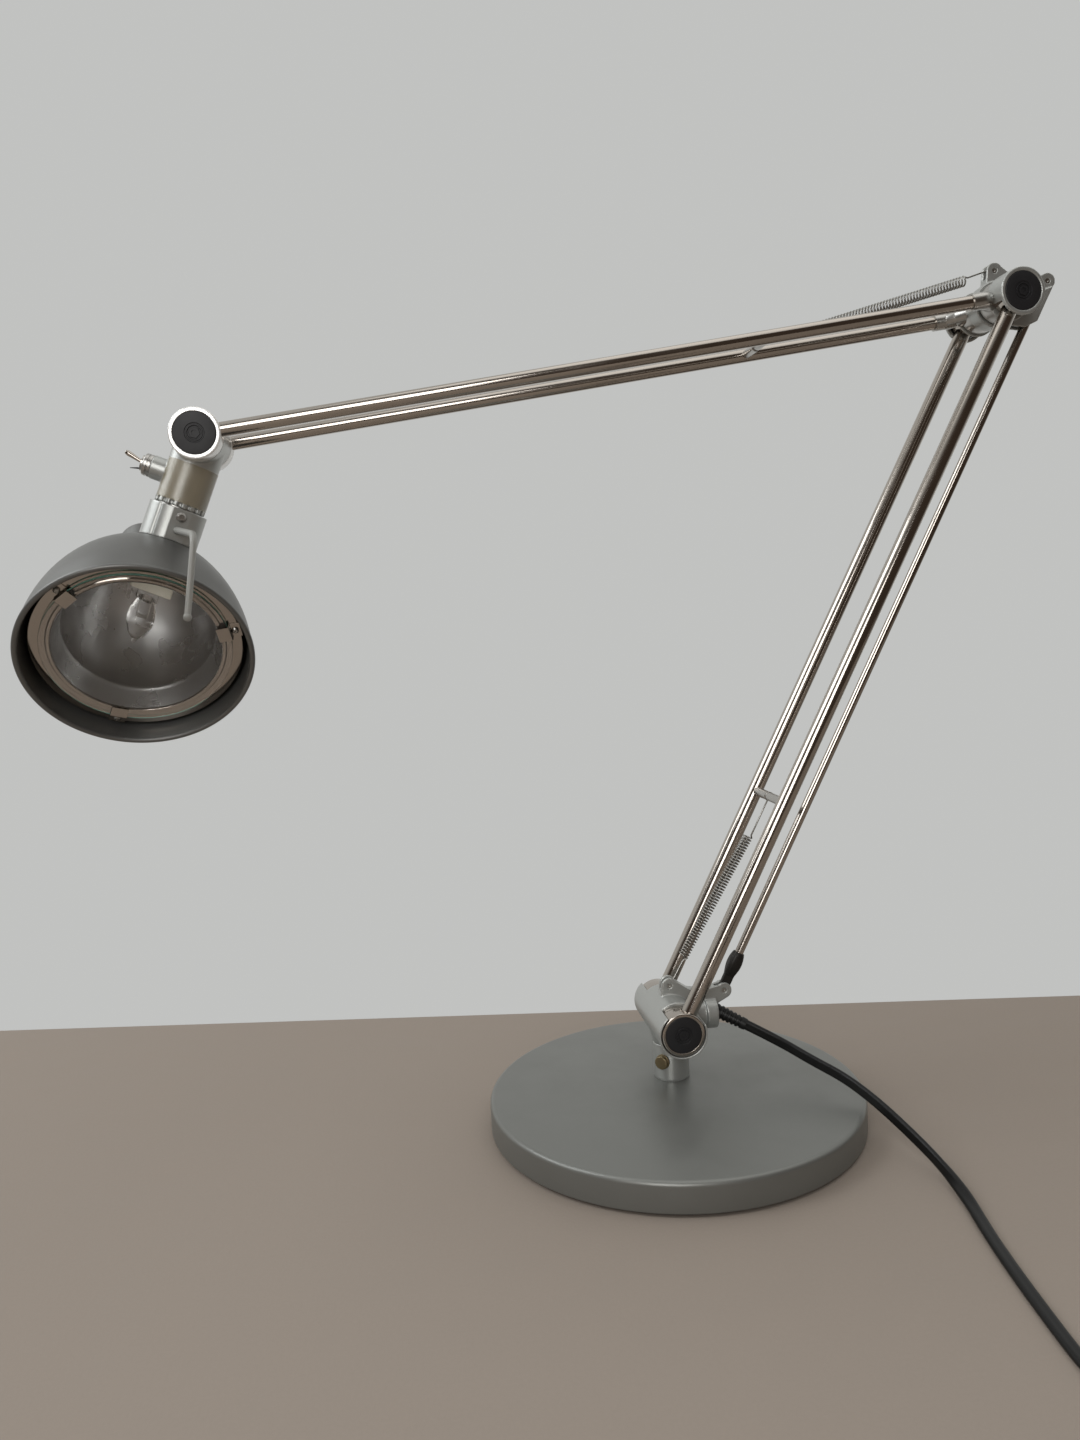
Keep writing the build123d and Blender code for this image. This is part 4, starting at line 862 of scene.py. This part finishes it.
def cross_screw(name, seat, axis, radius, height, shank):
    """A domed screw head with a cross recess."""
    axis = Vector(axis)
    outline = rounded([(0, -shank), (radius * 0.55, -shank), (radius * 0.55, 0), (radius, 0),
                       ((radius, height * 0.5), height * 0.2), (radius * 0.6, height * 0.93),
                       (0, height)], 4)
    screw = make(name, turned(seat, axis, outline, 40, False))
    side = axis.orthogonal().normalized()
    top = Vector(seat) + axis * height
    arms = [block(top, d, axis, (radius * 1.15, height * 0.9, radius * 0.24))
            for d in (side, axis.cross(side))]
    return cut(screw, *arms, sharp=30)


screw_seat = head + neck_dir * 44.5 + shade_front * 15
fit(cross_screw("collar_fixing", screw_seat, shade_front, 2.7, 1.8, 3), "shade", "steel",
    "collar_screw")

HANDLE_END = Vector((-257.2, -72.2, 315.1))
HANDLE_RADIUS = 1.7
BEAD_RADIUS = 2.2
handle_root = head + neck_dir * 52 + shade_front * 13.1
handle_line = rounded([handle_root, (handle_root + shade_front * 54, 8),
                       HANDLE_END], 14)
handle_grip = swept(handle_line, ring_section(HANDLE_RADIUS, 20), scale_at=tapered)
bead = turned(HANDLE_END, up,
              [(BEAD_RADIUS * cos(radians(a)) if abs(a) < 90 else 0, BEAD_RADIUS * sin(radians(a)))
               for a in range(-90, 91, 15)], 32, False)
fit(make("handle", handle_grip, bead), "shade", "handle_plastic", "handle_rod")

# ---- Reflector, glass and its clips ---------------------------------------------------------------

RING_INNER = 44
RING_OUTER = 55.5
BOWL_RADIUS = 38
BOWL_BASE = 25
BOWL_DEPTH = 42
SHEET = 0.8
HOLDER_HOLE_RADIUS = 12.6
reflector_outline = ([(RING_INNER + 4, RING_DEPTH + 1.2), (RING_INNER, RING_DEPTH + 1.2),
                      (RING_INNER - 1, RING_DEPTH + 3), (BOWL_RADIUS + 1.4, BOWL_BASE - 2.4),
                      (BOWL_RADIUS + 0.5, BOWL_BASE - 0.6)]
                     + dome(BOWL_RADIUS, BOWL_DEPTH, BOWL_BASE)
                     + dome(BOWL_RADIUS + SHEET, BOWL_DEPTH + SHEET, BOWL_BASE)[::-1]
                     + [(RING_INNER + SHEET, RING_DEPTH + 2), (RING_INNER + 4, RING_DEPTH + 2)])
bowl = make("reflector_bowl", turned(mouth, inward, reflector_outline, 144))
cut(bowl, bar(head + neck_dir * 55, head + neck_dir * SHADE_CENTRE, HOLDER_HOLE_RADIUS, 0.1))
fit(bowl, "shade", "reflector_metal", "reflector")
ring_outline = rounded([
    (RING_INNER, RING_DEPTH + 1.2), ((RING_INNER, RING_DEPTH - 0.9), 0.7),
    ((RING_INNER + 2, RING_DEPTH - 0.9), 0.7), (RING_INNER + 2.6, RING_DEPTH),
    ((RING_OUTER, RING_DEPTH), 0.5), ((RING_OUTER, RING_DEPTH + 1.2), 0.5)], 5)
ring_outline = [(max(p[0], RING_INNER), p[1]) for p in ring_outline]
fit(make("retaining_ring", turned(mouth, inward, ring_outline, 160)), "shade", "ring_chrome",
    "glass_ring")

GLASS_RADIUS = 50
GLASS_TOP = 8
glass_outline = rounded([
    (0, GLASS_TOP), ((GLASS_RADIUS, GLASS_TOP), 0.5), ((GLASS_RADIUS, RING_DEPTH - 0.95), 0.5),
    (0, RING_DEPTH - 0.95)], 3)
glass = fit(make("cover_disc", turned(mouth, inward, glass_outline, 160, False)), "shade",
            "clear_glass", "cover_glass")
glass.data.materials.append(glass_edge)
for face in glass.data.polygons:
    if abs(face.normal.dot(beam_dir)) < 0.5:
        face.material_index = 1
glass.visible_shadow = False

CLIP_ANGLES = (37, 157, 277)
CLIP_WIDTH = 9
clip_line = rounded([
    (56, RING_DEPTH - 0.3, 0), ((50.6, RING_DEPTH - 0.3, 0), 0.6),
    ((50.6, GLASS_TOP - 0.3, 0), 0.6), (43.5, GLASS_TOP - 0.3, 0)], 5)
clip_shapes = []
for number, angle in enumerate(CLIP_ANGLES, 1):
    radial = shade_side * cos(radians(angle)) + shade_up * sin(radians(angle))
    sideways = radial.cross(beam_dir)
    path = [mouth + radial * p[0] + inward * p[1] for p in clip_line]
    clip_shapes.append(swept(path, flat_section(CLIP_WIDTH / 2, 0.25),
                             lambda share, direction, side=sideways: side))
    seat = mouth + radial * 53 + inward * (RING_DEPTH - 0.6)
    screw = cross_screw(f"clip_fixing_{number}", seat, beam_dir, 1.9, 1.4, 0.8)
    fit(screw, "shade", "steel", *(["clip_screws"] if number == 1 else []))
fit(make("retaining_clips", *clip_shapes), "shade", "ring_chrome", "glass_clips")

# ---- Lamp holder and bulb -------------------------------------------------------------------------

fit(softened("ceramic_holder", "lamp_holder", 0.4, 2), "shade", "ceramic", "lamp_holder")
bulb_base = head + neck_dir * 95
BULB_RADIUS = 6.8
envelope = rounded([
    (0, 3), (3.6, 3), ((4.2, 4.5), 1), ((6.4, 8), 3), ((BULB_RADIUS, 14), 4), ((4.4, 19.6), 3),
    ((1.6, 22), 1), ((1.1, 23.6), 0.4), (0, 24.2)], 8)
glass_bulb = fit(make("bulb_capsule", turned(bulb_base, neck_dir, envelope, 64, False)), "shade",
                 "bulb_glass", "bulb")
glass_bulb.visible_shadow = False
pinch = block(bulb_base + neck_dir * 2, shade_side, neck_dir, (10, 4.4, 3.4))
fit(make("bulb_pinch", pinch), "shade", "bulb_glass")
LEG_SIDE = 1.9
FILAMENT_AHEAD = 11
FILAMENT_TURNS = 9
FILAMENT_POINTS = 12
filament_steps = FILAMENT_POINTS * FILAMENT_TURNS
wires = []
for side in (-1, 1):
    foot = bulb_base + shade_side * side * 2.1 + neck_dir * 2
    top = bulb_base + shade_side * side * LEG_SIDE + neck_dir * FILAMENT_AHEAD
    wires.append(bar(foot, top, 0.22, 0.05, 10))
filament = []
for step in range(filament_steps + 1):
    turn = 2 * pi * step / FILAMENT_POINTS
    place = (bulb_base + neck_dir * FILAMENT_AHEAD
             + shade_side * (-LEG_SIDE + 2 * LEG_SIDE * step / filament_steps))
    filament.append(place + (neck_dir * cos(turn) + shade_front * sin(turn)) * 0.75)
wires.append(swept(filament, ring_section(0.16, 6)))
fit(make("bulb_filament", *wires), "shade", "steel")

# ---- Stage: a plain pale floor, soft light and a pale surround --------------------------------------

FLOOR_BACK = Vector((62, 155, 0))
FLOOR_TURN = radians(-10.5)
FLOOR_REACH = 1600
floor_right = Vector((cos(FLOOR_TURN), sin(FLOOR_TURN), 0)) * FLOOR_REACH
floor_front = Vector((sin(FLOOR_TURN), -cos(FLOOR_TURN), 0)) * FLOOR_REACH
floor = make("floor", ([FLOOR_BACK - floor_right, FLOOR_BACK - floor_right + floor_front,
                        FLOOR_BACK + floor_right + floor_front, FLOOR_BACK + floor_right],
                       [(0, 1, 2, 3)]))
floor.data.materials.append(look("floor_cloth", (0.282, 0.238, 0.202), 0.85, spread=0.06,
                                 grain=520, bump=0.5))


def soft_light(name, place, aim, size, power, colour):
    """A rectangular light, aimed at a point. Its places and sizes are in metres."""
    data = bpy.data.lights.new(name, "AREA")
    data.shape = "RECTANGLE"
    data.size, data.size_y = size
    data.energy = power
    data.color = colour
    light = bpy.data.objects.new(name, data)
    light.location = Vector(place)
    light.rotation_euler = (Vector(aim) - Vector(place)).to_track_quat("-Z", "Y").to_euler()
    bpy.context.scene.collection.objects.link(light)


soft_light("window", (-1.5, 0.1, 1.5), (0, 0, 0.2), (1.2, 1.2), 16, (0.95, 0.98, 1.0))
soft_light("ceiling", (0.3, -0.2, 1.9), (0, 0, 0.2), (1.6, 1.6), 5, (1.0, 0.98, 0.95))
soft_light("front", (-0.7, -1.9, 0.9), (0, 0, 0.15), (0.9, 1.3), 17, (1.0, 0.99, 0.97))

world = bpy.data.worlds.new("surround")
world.use_nodes = True
bpy.context.scene.world = world
tree = world.node_tree
background = tree.nodes["Background"]
direction = tree.nodes.new("ShaderNodeTexCoord")
parts = tree.nodes.new("ShaderNodeSeparateXYZ")
tree.links.new(direction.outputs["Generated"], parts.inputs["Vector"])
# Bright above and behind the lamp, as a pale room is, and dark at eye level behind the viewer.
height_share = tree.nodes.new("ShaderNodeMath")
height_share.operation = "MULTIPLY"
height_share.inputs[1].default_value = 0.85
tree.links.new(parts.outputs["Z"], height_share.inputs[0])
openness = tree.nodes.new("ShaderNodeMath")
openness.operation = "ADD"
tree.links.new(parts.outputs["Y"], openness.inputs[0])
tree.links.new(height_share.outputs["Value"], openness.inputs[1])
span = tree.nodes.new("ShaderNodeMapRange")
span.inputs["From Min"].default_value = -0.2
span.inputs["From Max"].default_value = 0.5
tree.links.new(openness.outputs["Value"], span.inputs["Value"])
room = tree.nodes.new("ShaderNodeMix")
room.data_type = "RGBA"
room.inputs["A"].default_value = (0.055, 0.04, 0.03, 1)
room.inputs["B"].default_value = (0.60, 0.60, 0.58, 1)
tree.links.new(span.outputs["Result"], room.inputs["Factor"])
seen = tree.nodes.new("ShaderNodeLightPath")
choose = tree.nodes.new("ShaderNodeMix")
choose.data_type = "RGBA"
choose.inputs["B"].default_value = (0.535, 0.54, 0.53, 1)
tree.links.new(seen.outputs["Is Camera Ray"], choose.inputs["Factor"])
tree.links.new(room.outputs["Result"], choose.inputs["A"])
tree.links.new(choose.outputs["Result"], background.inputs["Color"])
bpy.context.scene.view_settings.view_transform = "Standard"
